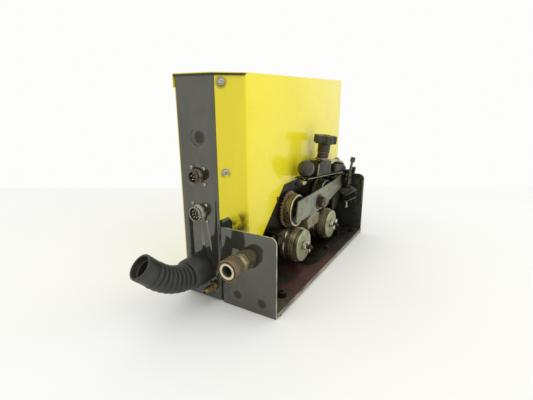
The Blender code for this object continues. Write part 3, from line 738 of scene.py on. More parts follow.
def build_panels():
    cuts = [dish((37.5, 0, 268.7), PLUS_Y, 14, 1.35)]
    refined("front_panel", "black", 0.5, cuts=cuts, steps=3)
    low, high = span("left_panel")
    sheet = block((-1.45, -0.15), (-0.3, high[1]), (low[2], high[2] - 16))
    piece("left_panel_shown", sheet, "yellow", "frame", ("left_panel",), 0.35)
    for row in range(6):
        z = 70 + row * 13
        outline = rounded([(300, z, 2), (380, z, 2), (380, z + 4, 2), (300, z + 4, 2)], 5)
        piece("left_louvre_" + str(row), prism("X", outline, -1.9, -1.2), "black", "frame", bevel=0.2)
    spots = ((14, 20), (14, 180), (14, 320), (416, 20), (416, 180), (416, 320), (215, 20))
    for index, (y, z) in enumerate(spots):
        dome_screw("left_screw_" + str(index), (-1.45, y, z), (-1, 0, 0), 3.6, height=1.7)
    back = span("rear_panel")[1][1]
    refined("rear_panel", "black", 0.3)
    for index, (x, z) in enumerate(((8, 20), (8, 190), (8, 340), (88, 200), (88, 340))):
        dome_screw("rear_screw_" + str(index), (x, back, z), PLUS_Y, 3.6, height=2.0, washer=4.6)
    grille = [tube((48, back, 90), PLUS_Y, -0.2, 0.9, radius, radius + 1.6) for radius in (7, 14, 21, 28)]
    grille.append(block((47, 49), (back - 0.2, back + 1.2), (60, 120)))
    grille.append(block((18, 78), (back - 0.2, back + 1.2), (89, 91)))
    piece("rear_grille", joined(grille), "black", "frame", bevel=0.25)
    gland = (48, back, 260)
    shapes = [prism("Y", polygon(6, 26, (gland[0], gland[2])), back - 0.1, back + 3.7),
              turned(gland, PLUS_Y, [(2.2, 0), (2.2, 11), (2.9, 11), (3.7, 9), (3.7, 5), (1.6, 5),
                                     (1.6, 0)])]
    piece("rear_blank_gland", joined(shapes), "plastic", "frame", bevel=0.3)


def build_base():
    low, high = span("base_tray")
    tray = block((low[0], high[0] - 9), (low[1], high[1]), (low[2], high[2]))
    piece("base_tray_shown", tray, "black", "frame", ("base_tray",), 0.3)
    refined("base_board", "board", 0.5, steps=2)
    cuts = [dish((x, 0, z), PLUS_Y, 8.6, 1.3) for x, z in ((102.5, 22), (148, 19.5))]
    refined("front_bracket", "bracket", 0.55, cuts=cuts, steps=3)
    low, high = span("front_bracket")
    bend = rounded([(-0.35, 0.0, 0.9), (2.5, 0.0, 0.9), (2.5, 2.3, 0), (-0.35, 2.3, 0.9)], 4)
    piece("bracket_bottom_bend", prism("X", bend, low[0] + 0.5, high[0] - 0.6), "olive", "frame")
    refined("rear_bracket", "rear_bracket", 0.55, steps=3)
    low, high = span("rear_bracket")
    # Painted highlight: a pale strip along the bracket's right edge stands in for the edge catching light.
    strip = block((high[0] - 3.4, high[0] - 1.6), (low[1] - 0.3, low[1] + 0.1), (72, high[2] - 13))
    piece("rear_bracket_highlight_strip", strip, "strap", "frame", bevel=0.12)
    bolts = ((154.8, 51.8, 5.5), (160, 398, 5.0), (92, 398, 4.5), (88, 60, 5.0))
    top = span("base_board")[1][2]
    for index, (x, y, size) in enumerate(bolts):
        head = [(0, 0, 0), (0, size, 1), (5.5, size, 1), (6.6, size - 1.3, 0), (6.6, 2.4, 0), (3.6, 2.3, 0),
                (3.6, 0, 0)]
        shapes = [rod((x, y, top), PLUS_Z, 0, 1.3, size * 1.6, 40),
                  fluted((x, y, top + 1.2), PLUS_Z, head, 18, 0.5)]
        piece("board_bolt_" + str(index), joined(shapes), "dark", "frame")
    bolts = ((171, 14.5, 4.2), (171.4, 303, 3.8), (171.2, 338, 3.8), (171, 200, 3.6))
    for index, (x, y, size) in enumerate(bolts):
        head = turned((x, y, 0), PLUS_Z, [(0, 0), (0, size - 0.6), (0.6, size), (2.4, size), (2.4, 0)], 24)
        piece("under_board_bolt_" + str(index), head, "dark", "frame", bevel=0.2)
    for index, (y, z) in enumerate(((8.5, 6.2), (423.5, 6.2))):
        dome_screw("board_side_screw_" + str(index), (span("base_board")[1][0] - 1.5, y, z), PLUS_X, 2.2,
                   finish="dark", height=1.3)


def build_socket_shell(name, finish, x, z, depth, barrel, flutes):
    """Barrel with thread rings and a notched rim, open at both ends."""
    profile = [(-17, barrel - 1.8), (-17, barrel), (0.5, barrel), (0.7, barrel + 1.6), (2.6, barrel + 1.6),
               (3.0, barrel - 0.3)]
    along = 3.2
    while along < depth - 4.6:
        profile += [(along, barrel - 0.7), (along + 0.8, barrel)]
        along += 1.6
    profile += [(depth - 4.4, barrel - 1.0), (depth - 4.2, barrel + 0.2), (depth - 0.8, barrel + 0.2),
                (depth, barrel - 0.5), (depth, barrel - 1.5), (depth - 0.6, barrel - 1.9)]
    notched = []
    for point in profile:
        share = 1.0 if point[0] > depth - 4.3 and point[1] > barrel - 0.6 else 0.0
        notched.append((point[0], point[1], share))
    piece("socket_" + name + "_shell_shown", fluted((x, 0, z), MINUS_Y, notched, flutes, 0.8), finish,
          "frame", ("socket_" + name + "_shell",), smooth=28)


def build_socket_insert(name, x, z, depth, barrel, pins):
    """Insert with a ring of contact pins around a middle one, and a key at the top."""
    front = -(depth - 5.0)
    radius = barrel - 2.0
    piece("socket_" + name + "_insert_shown", rod((x, front, z), PLUS_Y, 0.8, 22, radius, 56), "insert",
          "frame", ("socket_" + name + "_insert",), bevel=0.3)
    contacts = []
    for index in range(pins):
        angle = math.tau * (index + 0.3) / (pins - 1)
        reach = radius * 0.62 if index < pins - 1 else 0.0
        spot = (x + reach * math.cos(angle), front + 1, z + reach * math.sin(angle))
        contacts.append(turned(spot, MINUS_Y, [(0, 0), (0, 0.95), (2.6, 0.95), (3.3, 0.5), (3.3, 0)], 18))
    piece("socket_" + name + "_pins", joined(contacts), "pin", "frame")
    key = block((x - 1.2, x + 1.2), (front - 2.2, front + 1), (z + barrel - 4.4, z + barrel - 2.3))
    piece("socket_" + name + "_key", key, "insert", "frame", bevel=0.3)


def build_sockets():
    """Each socket: name, finish, pins, barrel radius, half flange width, screw reach, rim notches."""
    for name, finish, pins, barrel, half, reach, flutes in (("small", "dark_ring", 6, 10.0, 15.0, 12.3, 14),
                                                            ("large", "socket", 9, 12.0, 16.5, 13.5, 18)):
        centre = middle("socket_" + name + "_insert")
        x, z = centre[0], centre[2]
        depth = -span("socket_" + name + "_shell")[0][1]
        build_socket_shell(name, finish, x, z, depth, barrel, flutes)
        corners = [(x - half, z - half, 3), (x + half, z - half, 3), (x + half, z + half, 3),
                   (x - half, z + half, 3)]
        piece("socket_" + name + "_flange", prism("Y", rounded(corners, 4), 1.9, 3.9), "dark", "frame",
              bevel=0.3)
        build_socket_insert(name, x, z, depth, barrel, pins)
        for index in range(4):
            side_x = reach if index % 2 else -reach
            side_z = reach if index // 2 else -reach
            dome_screw("socket_" + name + "_screw_" + str(index), (x + side_x, -0.05, z + side_z), MINUS_Y,
                       3.1, height=2.5)


BOOT_START = (31.2, -0.3, 52.5)
BOOT_STRAIGHT = 31.0
BOOT_BEND_RADIUS = 84.0
BOOT_BEND = 0.82
BOOT_END = 28.2
BOOT_TWIST = -0.32
BOOT_BORE = 15.0


def boot_point(distance):
    """Centre, direction and side vector of the bend-relief boot at a distance from the panel."""
    bend_to = Vector((math.sin(BOOT_TWIST), 0, math.cos(BOOT_TWIST)))
    forward = Vector(MINUS_Y)
    angle = min(max(distance - BOOT_STRAIGHT, 0) / BOOT_BEND_RADIUS, BOOT_BEND)
    ahead = min(distance, BOOT_STRAIGHT) + BOOT_BEND_RADIUS * math.sin(angle)
    centre = Vector(BOOT_START) + forward * ahead
    centre += bend_to * BOOT_BEND_RADIUS * (1 - math.cos(angle))
    direction = forward * math.cos(angle) + bend_to * math.sin(angle)
    tail = max(distance - BOOT_STRAIGHT - BOOT_BEND_RADIUS * BOOT_BEND, 0)
    return centre + direction * tail, direction, forward.cross(bend_to)


def build_boot():
    """Root collar, a row of folds, then the cuff and the bore back to the panel."""
    length = BOOT_STRAIGHT + BOOT_BEND_RADIUS * BOOT_BEND + BOOT_END
    profile = [(0, 25.6), (0.6, 26.0), (15, 25.8), (32.6, 25.2), (33.6, 24.6), (34.0, 23.4), (35.6, 22.8),
               (36.4, 21.4)]
    first, fold, folds = 37.0, 8.4, 8
    for index in range(folds):
        for step in range(10):
            share = step / 10
            crest = abs(math.sin(math.pi * share)) ** 0.5
            profile.append((first + (index + share) * fold, 19.0 + 2.9 * crest - 0.12 * index))
    cuff = first + folds * fold
    profile += [(cuff, 18.7), (cuff + 1.4, 19.9), (cuff + 2.6, 20.2)]
    for back, radius in ((9, 20.3), (7.8, 20.4), (2.2, 20.4), (0.8, 20.2), (0, 19.6), (-0.1, 18.2),
                         (0.4, 17.0), (9, 16.7), (10, 16.2), (10.6, 15.2), (18, BOOT_BORE)):
        profile.append((length - back, radius))
    profile += [(length * (0.8 - 0.1 * step), BOOT_BORE) for step in range(8)]
    profile.append((0, BOOT_BORE))
    stations = [(*boot_point(distance), radius) for distance, radius in profile]
    piece("cable_boot_shown", swept(stations, 96), "rubber", "frame", ("cable_boot",), smooth=50)
    refined("boot_lock_ring", "plastic", 0.3)


def build_nipple():
    """A hose tail with barbs, its locknut and a collar."""
    x, z = middle("gas_nipple")[0], middle("gas_nipple")[2]
    profile = [(-12, 2.2), (-12, 5.2), (7, 5.2), (7.4, 4.3), (10.6, 4.2), (11.2, 5.5), (12.6, 5.5),
               (16, 4.1), (16.2, 5.3), (17.2, 5.3), (21, 3.9), (21.2, 5.1), (22.2, 5.1), (27.6, 3.6),
               (28, 3.2), (28, 2.2)]
    shapes = [turned((x, 0, z), MINUS_Y, profile, 48), tube((x, 0, z), MINUS_Y, 6.6, 8.2, 4.4, 6.3, 48)]
    piece("gas_nipple_shown", joined(shapes), "brass", "frame", ("gas_nipple",), bevel=0.25, smooth=30)
    nut = prism("Y", polygon(6, 14, (x, z), 0.3), -6.8, -0.3)
    piece("gas_nipple_nut", nut, "brass", "frame", bevel=0.5)


def build_coupler():
    """The quick coupler, from the body with its seal and valve out to the nut and the sliding sleeve."""
    centre = (middle("coupler_body")[0], 0, middle("coupler_body")[2])
    body = [(-11, 8.0), (-11, 9.3), (13, 9.3), (13.2, 12.4), (15.0, 12.9), (17.6, 12.9), (18.0, 13.0),
            (40.0, 13.0), (40.7, 12.8), (41.0, 12.3), (41.0, 9.6), (40.3, 8.9), (30, 8.8), (29, 8.2),
            (20, 8.2), (19, 7.2), (10, 7.2), (9, 6.6), (0, 6.6)]
    piece("coupler_body_shown", turned(centre, MINUS_Y, body, 96), "ring", "frame", ("coupler_body",),
          smooth=30)
    seal = [(24.1, 6.4), (24.1, 8.7), (36.5, 8.7), (37.0, 8.1), (37.0, 7.7), (25, 7.5)]
    piece("coupler_seal", turned(centre, MINUS_Y, seal, 72), "rubber", "frame", bevel=0.3)
    valve = [(4, 0), (4, 6.5), (24, 6.5), (24, 6.2), (7, 6.1), (9, 2.4), (12, 2.2), (13, 1.4), (13, 0)]
    piece("coupler_valve", turned(centre, MINUS_Y, valve, 48), "insert", "frame")
    nut = prism("Y", polygon(6, 27, (centre[0], centre[2]), 0.2), -12.6, -0.4)
    piece("coupler_nut_shown", nut, "nut", "frame", ("coupler_nut",), 0.9,
          cuts=(rod(centre, PLUS_Y, -20, 5, 9.6),))
    collar = [(12.7, 9.6), (12.7, 12.8), (13.0, 13.1), (14.6, 13.1), (14.9, 12.8), (14.9, 9.6)]
    piece("coupler_collar", turned(centre, MINUS_Y, collar), "nut", "frame", bevel=0.2)
    sleeve = [(18.4, 13.35), (18.4, 15.8), (18.8, 16.8), (19.8, 17.4), (23.4, 17.4), (24.0, 16.8),
              (24.4, 16.4), (26.6, 16.4), (27.0, 16.8), (27.6, 17.4), (38.6, 17.4), (39.7, 17.0),
              (40.2, 16.3), (40.2, 15.6), (37.4, 15.0), (37.4, 13.35)]
    piece("coupler_sleeve_shown", turned(centre, MINUS_Y, sleeve, 96), "sleeve", "coupler_sleeve",
          ("coupler_sleeve",), smooth=30)


# ================================================================= drive

def ring_row(name, centre, body, spots, inner, outer, width, finish):
    """A row of separate raised rings around one axis."""
    shapes = []
    for spot in spots:
        shapes.append(turned(centre, PLUS_X, [(spot, inner), (spot + width * 0.2, outer),
                                              (spot + width * 0.8, outer), (spot + width, inner)], 96))
    piece(name, joined(shapes), finish, body, smooth=25)


def build_lower_roll(name, body, turn):
    low, high = span(name + "_roll")
    y, z = middle(name + "_disc")[1], middle(name + "_disc")[2]
    centre = (0, y, z)
    wire = middle("inlet_guide")[0]
    profile = [(low[0], 6.3), (low[0], 31.6), (low[0] + 0.6, 32.4), (wire - 2.0, 32.4), (wire - 1.1, 31.6),
               (wire, 30.8), (wire + 1.1, 31.6), (wire + 2.0, 32.6), (wire + 4.4, 32.6), (wire + 4.8, 29.4),
               (wire + 6.4, 29.4), (wire + 6.8, 32.6)]
    profile += [(wire + 7.4, 32.6), (wire + 7.6, 31.2), (high[0] - 4.0, 31.2)]
    first = wire + 8.0
    pitch = (high[0] - 4.4 - first) / 3
    # The ridge rings carry a painted highlight.
    ring_row(name + "_roll_ridges", centre, body, [first + pitch * index for index in range(3)], 30.8, 32.8,
             pitch * 0.5, "ridge_highlight")
    profile += [(high[0] - 3.4, 32.4), (high[0] - 3.0, 28.4), (high[0] - 1.2, 28.4), (high[0] - 0.9, 30.2),
                (high[0], 30.2), (high[0], 6.3)]
    piece(name + "_roll_shown", turned(centre, PLUS_X, profile, 96), "roll_dark", body, (name + "_roll",),
          smooth=25)
    low, high = span(name + "_disc")
    disc = [(low[0], 6.3), (low[0], 29.9), (low[0] + 0.5, 30.5), (high[0] - 0.9, 30.6), (high[0], 29.7),
            (high[0], 11.4), (high[0] - 0.9, 10.8), (high[0] - 0.9, 6.3)]
    holes = []
    for index in range(4):
        angle = turn + math.tau * index / 4
        spot = (0, y + 20.5 * math.cos(angle), z + 20.5 * math.sin(angle))
        holes.append(rod(spot, PLUS_X, low[0] + 1.2, high[0] + 3, 2.1, 24))
    piece(name + "_disc_shown", turned(centre, PLUS_X, disc, 96), "disc", body, (name + "_disc",), smooth=30,
          cuts=holes)
    refined(name + "_gear", "gear", 0.3)
    refined(name + "_axle", "bright", 0.5)


def build_wing_screw(name, body, turn):
    low, high = span(name + "_wing_screw")
    y, z = middle(name + "_disc")[1], middle(name + "_disc")[2]
    centre = (0, y, z)
    hub = turned(centre, PLUS_X, [(low[0], 0), (low[0], 8.6), (low[0] + 1.4, 8.6), (low[0] + 1.6, 6.8),
                                  (low[0] + 4.2, 6.8), (low[0] + 5.4, 5.6), (low[0] + 5.8, 4.2),
                                  (low[0] + 5.8, 0)], 56)
    piece(name + "_wing_screw_shown", hub, "bright", body, (name + "_wing_screw",))
    shank = fluted(centre, PLUS_X, [(low[0] + 5.7, 0, 0), (low[0] + 5.7, 4.9, 1), (low[0] + 12.4, 4.9, 1),
                                    (low[0] + 12.8, 3.0, 0), (high[0], 2.8, 0), (high[0], 0, 0)], 16, 0.5)
    piece(name + "_thumb_shank", shank, "bolt", body)
    wings = []
    for side in (-1, 1):
        outline = rounded([(2.6, -2.6, 1), (13.0, -4.0, 2.8), (13.4, 4.0, 2.8), (2.6, 2.6, 1)], 6)
        points = [(y + side * (a * math.cos(turn) - b * math.sin(turn)),
                   z + side * (a * math.sin(turn) + b * math.cos(turn))) for a, b in outline]
        wings.append(prism("X", points, low[0] + 6.6, low[0] + 10.6))
    piece(name + "_thumb_wings", joined(wings), "bright", body, bevel=1.2, bevel_steps=3)


def build_upper_roll(name, body):
    low, high = span(name + "_roll")
    y, z = middle(name + "_axle")[1], middle(name + "_axle")[2]
    centre = (0, y, z)
    profile = [(low[0], 6.3), (low[0], 28.2), (high[0] - 2.6, 28.2), (high[0] - 2.4, 6.3)]
    # Painted shade: the roll body between the rings is near-black, standing in for shade in the grooves.
    piece(name + "_roll_shown", turned(centre, PLUS_X, profile, 96), "groove_shade", body, (name + "_roll",),
          smooth=25)
    pitch = (high[0] - low[0] - 3.4) / 4
    ring_row(name + "_roll_ridges", centre, body, [low[0] + 0.9 + pitch * index for index in range(4)], 27.6,
             30.5, pitch * 0.46, "ridge_highlight")
    rim = [(high[0] - 1.9, 26.6), (high[0] - 1.9, 29.8), (high[0] - 1.5, 30.5), (high[0] - 0.6, 30.5),
           (high[0], 29.9), (high[0], 27.2), (high[0] - 1.6, 26.6)]
    # The rim carries the same painted highlight.
    piece(name + "_roll_rim", turned(centre, PLUS_X, rim, 96), "ridge_highlight", body, smooth=25)
    refined(name + "_gear", "tooth", 0.35)
    refined(name + "_axle", "bright", 0.4)


def build_drive():
    refined("drive_gear", "gear", 0.35)
    build_lower_roll("lower_front", "lower_front", 0.5)
    build_lower_roll("lower_rear", "lower_rear", 1.1)
    build_wing_screw("lower_front", "front_wing_screw", 1.9)
    build_wing_screw("lower_rear", "rear_wing_screw", 0.75)
    build_upper_roll("upper_front", "upper_front")
    build_upper_roll("upper_rear", "upper_rear")
    refined("drive_plate", "plate", 0.6)
    low, high = span("drive_foot")
    shapes = [prism("Z", rounded([(low[0], low[1], 0), (high[0] - 8, low[1], 14), (high[0], low[1] + 26, 12),
                                  (high[0], high[1], 8), (low[0], high[1], 0)], 8), low[2], low[2] + 1.7),
              prism("Z", rounded([(low[0], low[1] + 5, 0), (high[0] - 12, low[1] + 5, 12),
                                  (high[0] - 5, low[1] + 28, 10), (high[0] - 5, high[1] - 5, 8),
                                  (low[0], high[1] - 5, 0)], 8), low[2] + 1.6, low[2] + 3.1),
              prism("Z", rounded([(low[0], low[1] + 12, 0), (high[0] - 18, low[1] + 12, 10),
                                  (high[0] - 12, low[1] + 32, 8), (high[0] - 12, high[1] - 12, 6),
                                  (low[0], high[1] - 12, 0)], 8), low[2] + 3.0, high[2] + 0.3)]
    piece("drive_foot_shown", joined(shapes), "dark", "frame", ("drive_foot",), 0.5)
    for index, (x, y) in enumerate(((143, 214), (150, 262), (143, 350), (112, 350))):
        hex_bolt("foot_bolt_" + str(index), (x, y, high[2] + 0.2), "Z", 1, 7.5, 3.4, turn=0.4 * index)
    plate_face = span("drive_plate")[1][0]
    for index, (y, z) in enumerate(((130, 40), (130, 150), (210, 160), (360, 30), (60, 30))):
        dome_screw("plate_screw_" + str(index), (plate_face, y, z), PLUS_X, 4.2, finish="dark", height=3.0)


def build_guides():
    refined("centre_guide", "tan", 1.0, steps=3)
    refined("outlet_block", "dark", 0.8)
    refined("inlet_block", "dark", 0.8)
    for name in ("outlet_guide", "inlet_guide"):
        low, high = span(name)
        x, z = middle(name)[0], middle(name)[2]
        spots = [(low[1], 2.2), (low[1], 4.2), (low[1] + 0.6, 4.6)]
        spots += [(high[1] - 0.6, 4.6), (high[1], 4.0), (high[1], 2.2)]
        piece(name + "_shown", turned((x, 0, z), PLUS_Y, spots, 48), "brass", "frame", (name,))
    x, z = middle("inlet_guide")[0], middle("inlet_guide")[2]
    face = span("rear_bracket")[1][1]
    ring = turned((x, face - 3.9, z), PLUS_Y, [(0, 4.9), (0, 11), (1.3, 11), (1.3, 4.9)])
    piece("inlet_washer", ring, "zinc", "frame", bevel=0.3)
    for index, (y, z_spot) in enumerate(((104, 92), (368, 100))):
        block_name = "outlet_block" if index == 0 else "inlet_block"
        dome_screw("guide_clamp_" + str(index), (span(block_name)[1][0], y, z_spot), PLUS_X, 3.4, height=2.6,
                   finish="dark")
    clamp = prism("Y", [(113, 122), (130, 127), (160, 112), (159, 108.5), (136, 91.5), (118, 100)], 411, 416)
    piece("inlet_clamp", clamp, "clamp", "frame", bevel=0.9, bevel_steps=3)
    edge = prism("Y", [(135.6, 90.2), (160.6, 108.4), (160.2, 110.4), (135.0, 92.4)], 410.6, 416.2)
    piece("inlet_clamp_edge", edge, "arm", "frame", bevel=0.3)
    rest = [(134, 76), (140, 77.5), (161, 90.5), (160.6, 92.4), (139.6, 80.2), (134, 79)]
    piece("inlet_rest", prism("Y", rest, 408, 416), "arm", "frame", bevel=0.4)
    stub = [(0, 0), (0, 3.2), (0.8, 4), (3.4, 4), (3.4, 3.0), (14, 3.0), (14, 0)]
    piece("inlet_clamp_screw", turned((139, 413, 63), PLUS_Z, stub, 30), "disc", "frame")
    web = prism("Y", [(113, 74), (134, 76), (134, 112), (124, 118), (113, 118)], 413, 423)
    piece("inlet_clamp_web", web, "dark", "frame", bevel=0.9)


def slanted_oval(y, z, half_width, half_height, lean, sides=40):
    """Outline of an oval in the YZ plane, leaning toward plus Y."""
    points = []
    for step in range(sides):
        angle = math.tau * step / sides
        across, along = half_width * math.cos(angle), half_height * math.sin(angle)
        points.append((y + across * math.cos(lean) + along * math.sin(lean),
                       z - across * math.sin(lean) + along * math.cos(lean)))
    return points


def build_arm():
    face = span("roller_arm")[1][0]
    slot_cut = prism("X", slanted_oval(168.5, 118.5, 4.0, 8.4, 0.35), face - 0.9, face + 1.0)
    refined("roller_arm", "arm", 0.9, steps=3, cuts=(slot_cut,))
    slot_pin = prism("X", slanted_oval(168.5, 118.5, 2.9, 7.0, 0.35), face - 1.4, face - 0.25)
    piece("arm_slot_pin", slot_pin, "tan", "arm", bevel=0.4)
    bolt = middle("arm_bolt")
    centre = (face + 0.2, bolt[1], bolt[2])
    washer = [(0, 0), (0, 15.2), (0.5, 15.6), (1.4, 15.4), (1.8, 14.4), (1.8, 0)]
    shapes = [turned(centre, PLUS_X, washer, 64),
              prism("X", polygon(6, 20.4, (bolt[1], bolt[2]), 0.5), centre[0] + 1.7, span("arm_bolt")[1][0])]
    piece("arm_bolt_shown", joined(shapes), "bolt", "arm", ("arm_bolt",), 0.8, bevel_steps=3)
    rivet = [(0, 0), (0, 5.6), (0.7, 5.3), (1.0, 4.2), (0.75, 3.2), (0.9, 0)]
    for index, (y, z) in enumerate(((190, 135.5), (306, 132.0))):
        piece("arm_rivet_" + str(index), turned((face - 0.2, y, z), PLUS_X, rivet, 40), "tan", "arm")
    pin = middle("pivot_pin")
    boss = [(0, 5.4), (0, 8.6), (2.2, 8.2), (2.6, 7.4), (2.6, 5.4)]
    piece("arm_pivot_boss", turned((face - 0.2, pin[1], pin[2]), PLUS_X, boss, 48), "dark", "arm")
    refined("pivot_pin", "bright", 0.6)


def build_lever():
    side = span("release_lever")[1][0]
    refined("release_lever", "dark", 0.7, steps=3)
    worn = [(182, 178.7), (372, 157.8), (373, 158.6), (372, 159.4), (182, 180.3)]
    piece("lever_worn_edge", prism("X", worn, side - 0.25, side + 0.35), "arm", "lever", bevel=0.2)
    refined("pressure_block", "dark", 1.4, steps=4)
    block_low, block_high = span("pressure_block")
    edge = turned((block_high[0] - 0.9, block_low[1] + 1.5, block_low[2] + 8), (0, 0.32, 1),
                  [(0, 0), (0, 1.5), (22.5, 1.5), (22.5, 0)], 24)
    piece("block_worn_edge", edge, "arm", "lever", bevel=0.4)
    refined("top_strap", "strap", 0.8, steps=3)
    bolt = [(0, 0), (0, 7.2), (1.0, 7.2), (1.0, 5.4), (3.4, 5.0), (5.2, 3.2), (5.7, 0)]
    piece("strap_bolt", turned((122, 378, 184.6), (0, 0.26, 0.966), bolt, 48), "arm", "lever", bevel=0.2)
    curve = [(318, 182.5), (340, 182.5), (367, 177.2), (386, 171.8), (392, 165.5), (390.5, 159.5),
             (384, 158), (372, 162.4), (345, 164.6), (318, 168)]
    piece("lever_casting", prism("X", curve, 124, 140.5), "dark", "lever", bevel=2.4, bevel_steps=4)
    spot = turned((136.6, 300.2, 191.6), (0.7, -0.3, 0.6), [(0, 0), (0, 2.2), (1.2, 2.0), (1.6, 0)], 30)
    piece("lever_grub_screw", spot, "bright", "lever")

    ball = middle("ball_knob")
    radius = (span("ball_knob")[1][0] - span("ball_knob")[0][0]) / 2
    outline = [(-radius - 0.2, 0), (-radius - 0.2, 5.6), (-radius + 1.0, 6.4)]
    for step in range(3, 31):
        angle = math.pi * step / 30 - math.pi / 2
        outline.append((radius * math.sin(angle), max(radius * math.cos(angle), 0.0)))
    outline[-1] = (radius, 0)
    axis = Vector((0.15, 0.0, 0.988686))
    piece("ball_knob_shown", turned(ball, axis, outline, 96), "ball", "lever", ("ball_knob",), smooth=60)
    stem = Vector(ball) - 21 * axis
    shank = turned(stem, axis, [(-10.2, 0), (-10.2, 2.6), (-9.6, 3.1), (4.6, 3.1), (4.6, 0)], 36)
    piece("ball_stud_shown", shank, "zinc", "lever", ("ball_stud",))
    nut = turned(stem, axis, [(-8.6, 0), (-8.6, 6.3), (-1.4, 6.3), (-1.4, 0)], 6)
    piece("ball_stud_nut", nut, "nut", "lever", bevel=0.7)
    washer = turned(stem, axis, [(-1.5, 0), (-1.5, 7.6), (-0.5, 7.6), (-0.5, 0)], 40)
    piece("ball_stud_washer", washer, "dark", "lever", bevel=0.2)


def build_tension():
    axis = Vector((0.086, 0.051, 0.994989)).normalized()
    foot = (129, 262, 170)
    refined("pressure_rod", "dark", 0.5)
    coils = helix(foot, axis, 37.2, 47.0, 10.2, 3.0, 1.55)
    piece("tension_spring_shown", coils, "spring", "lever", ("tension_spring",), smooth=60)
    washers = (("low", 33.2, 35.4, 14.4, "rust"), ("mid", 35.4, 36.9, 11.8, "bright"),
               ("top", 47.9, 49.6, 12.6, "rust"))
    for label, low, high, outer, finish in washers:
        profile = [(low, 4.3), (low, outer - 0.4), (low + 0.4, outer), (high - 0.4, outer),
                   (high, outer - 0.4), (high, 4.3)]
        piece("tension_washer_" + label, turned(foot, axis, profile, 64), finish, "lever")
    side = Matrix.Rotation(math.radians(13), 3, axis) @ axis.cross(Vector(PLUS_X)).normalized()
    knob = [(50.1, 0, 0), (50.1, 11.6, 0), (50.7, 12.3, 0), (64.0, 12.4, 0), (65.2, 13.2, 0),
            (65.9, 14.6, 0), (66.0, 21.4, 1), (66.6, 22.9, 1), (67.6, 23.5, 1), (79.6, 23.5, 1),
            (80.9, 22.9, 1), (81.7, 21.6, 0.97), (82.0, 19.8, 0.9),
            (82.2, 12, 0.2), (81.4, 10.8, 0), (81.2, 0, 0)]
    piece("tension_knob_shown", fluted(foot, axis, knob, 5, 5.8, 160, side), "plastic", "tension_knob",
          ("tension_knob",), smooth=40)


def build_pivot():
    refined("pivot_bracket", "dark", 0.9, steps=3)
    foot = (150.6, 374.2, 133)
    axis = (0, 0.53, 0.848)
    profile = [(0, 0, 0), (0, 2.4, 0), (0.6, 3.0, 0)]
    along = 1.0
    while along < 51:
        profile += [(along, 2.95, 0), (along + 0.5, 2.6, 0), (along + 1.0, 2.95, 0)]
        along += 1.2
    profile += [(53, 3.0, 0), (53.6, 4.6, 1), (54.4, 5.7, 1), (63, 5.7, 1), (63.8, 5.0, 1), (64.0, 3.1, 0),
                (61.4, 2.9, 0), (61.4, 0, 0)]
    piece("stop_screw_shown", fluted(foot, axis, profile, 20, 0.7), "olive", "frame", ("stop_screw",),
          smooth=35)
    jam = turned(foot, axis, [(16.5, 3.2), (16.5, 5.4), (20.4, 5.4), (20.4, 3.2)], 6)
    piece("stop_screw_nut", jam, "olive", "frame", bevel=0.5)
    stud = [(0, 0), (0, 3.2), (6, 3.2), (6.2, 4.4), (14, 4.4), (14.6, 3.8), (14.6, 0)]
    piece("pivot_stud", turned((149, 423.6, 148), PLUS_Z, stud, 32), "dark", "frame")
    pin = middle("pivot_pin")
    cap = turned((148.2, pin[1], pin[2]), PLUS_X, [(0, 0), (0, 7.4), (1.4, 7.4), (2.4, 6.4), (2.4, 0)], 40)
    piece("pivot_cap", cap, "dark", "frame", bevel=0.3)


def build_interior():
    for name in ("gearbox", "drive_motor", "control_board", "gas_valve"):
        refined(name, {"gearbox": "roll", "drive_motor": "black", "control_board": "circuit",
                       "gas_valve": "brass"}[name], 0.6)


build_cover()
build_panels()
build_base()
build_sockets()
build_boot()
build_nipple()
build_coupler()
build_drive()
build_guides()
build_arm()
build_lever()
build_tension()
build_pivot()
build_interior()


# ================================================================= stage

CAMERA_PLACE = (0.3196, -0.6331, 0.3294)
CAMERA_TURN = (73.76, 0.16, 30.78)
CAMERA_LENS = 24.44
FLOOR_LEVEL = -0.0004


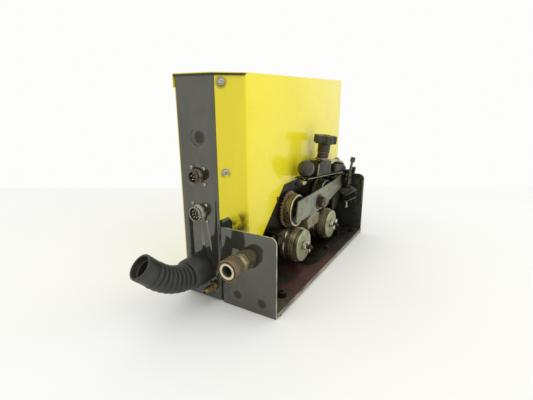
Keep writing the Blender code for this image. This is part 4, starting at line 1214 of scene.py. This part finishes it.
def stage_material(name, base, rough):
    g = Graph(name)
    spots = g.window(g.noise(3, 4, 0.5), 0.3, 0.8)
    g.colour(g.mix(spots, base, tuple(value * 0.985 for value in base)))
    g.shader.inputs["Roughness"].default_value = rough
    return g.finish(specular=0.1)


def build_floor():
    """A white card that ends a little way behind the feeder, square to the camera."""
    back = Vector((-0.5117, 0.8592, 0.0))
    side = Vector((0.8592, 0.5117, 0.0))
    start = Vector((CAMERA_PLACE[0], CAMERA_PLACE[1], FLOOR_LEVEL))
    corners = []
    for distance, reach in ((-3, -4), (-3, 4), (1.31, 4), (1.29, -4)):
        corners.append(start + back * distance + side * reach)
    data = bpy.data.meshes.new("floor")
    data.from_pydata([tuple(corner) for corner in corners], [], [(0, 1, 2, 3)])
    floor = bpy.data.objects.new("floor", data)
    bpy.context.scene.collection.objects.link(floor)
    data.materials.append(stage_material("floor_card", (0.905, 0.905, 0.885), 0.7))


def area_light(name, location, target, size, power, colour=(1, 1, 1)):
    data = bpy.data.lights.new(name, "AREA")
    data.shape = "SQUARE"
    data.size = size
    data.energy = power
    data.color = colour
    lamp = bpy.data.objects.new(name, data)
    bpy.context.scene.collection.objects.link(lamp)
    lamp.location = location
    aim = Vector(target) - Vector(location)
    lamp.rotation_euler = aim.to_track_quat("-Z", "Y").to_euler()
    return lamp


def build_world():
    world = bpy.data.worlds.new("white_room")
    bpy.context.scene.world = world
    world.use_nodes = True
    background = world.node_tree.nodes["Background"]
    background.inputs["Color"].default_value = (1.0, 1.0, 0.99, 1.0)
    background.inputs["Strength"].default_value = 0.98


def build_camera():
    data = bpy.data.cameras.new("camera")
    data.lens = CAMERA_LENS
    data.sensor_width = 36.0
    data.clip_start = 0.01
    camera = bpy.data.objects.new("camera", data)
    bpy.context.scene.collection.objects.link(camera)
    camera.location = CAMERA_PLACE
    camera.rotation_euler = [math.radians(angle) for angle in CAMERA_TURN]
    bpy.context.scene.camera = camera


build_floor()
build_world()
area_light("key", (1.9, -0.5, 1.5), (0, 0, 0.15), 1.4, 8)
area_light("top", (-0.4, -0.6, 2.2), (0, 0, 0.1), 1.4, 3)
build_camera()
bpy.context.scene.view_settings.view_transform = "Standard"
bpy.context.scene.view_settings.look = "None"
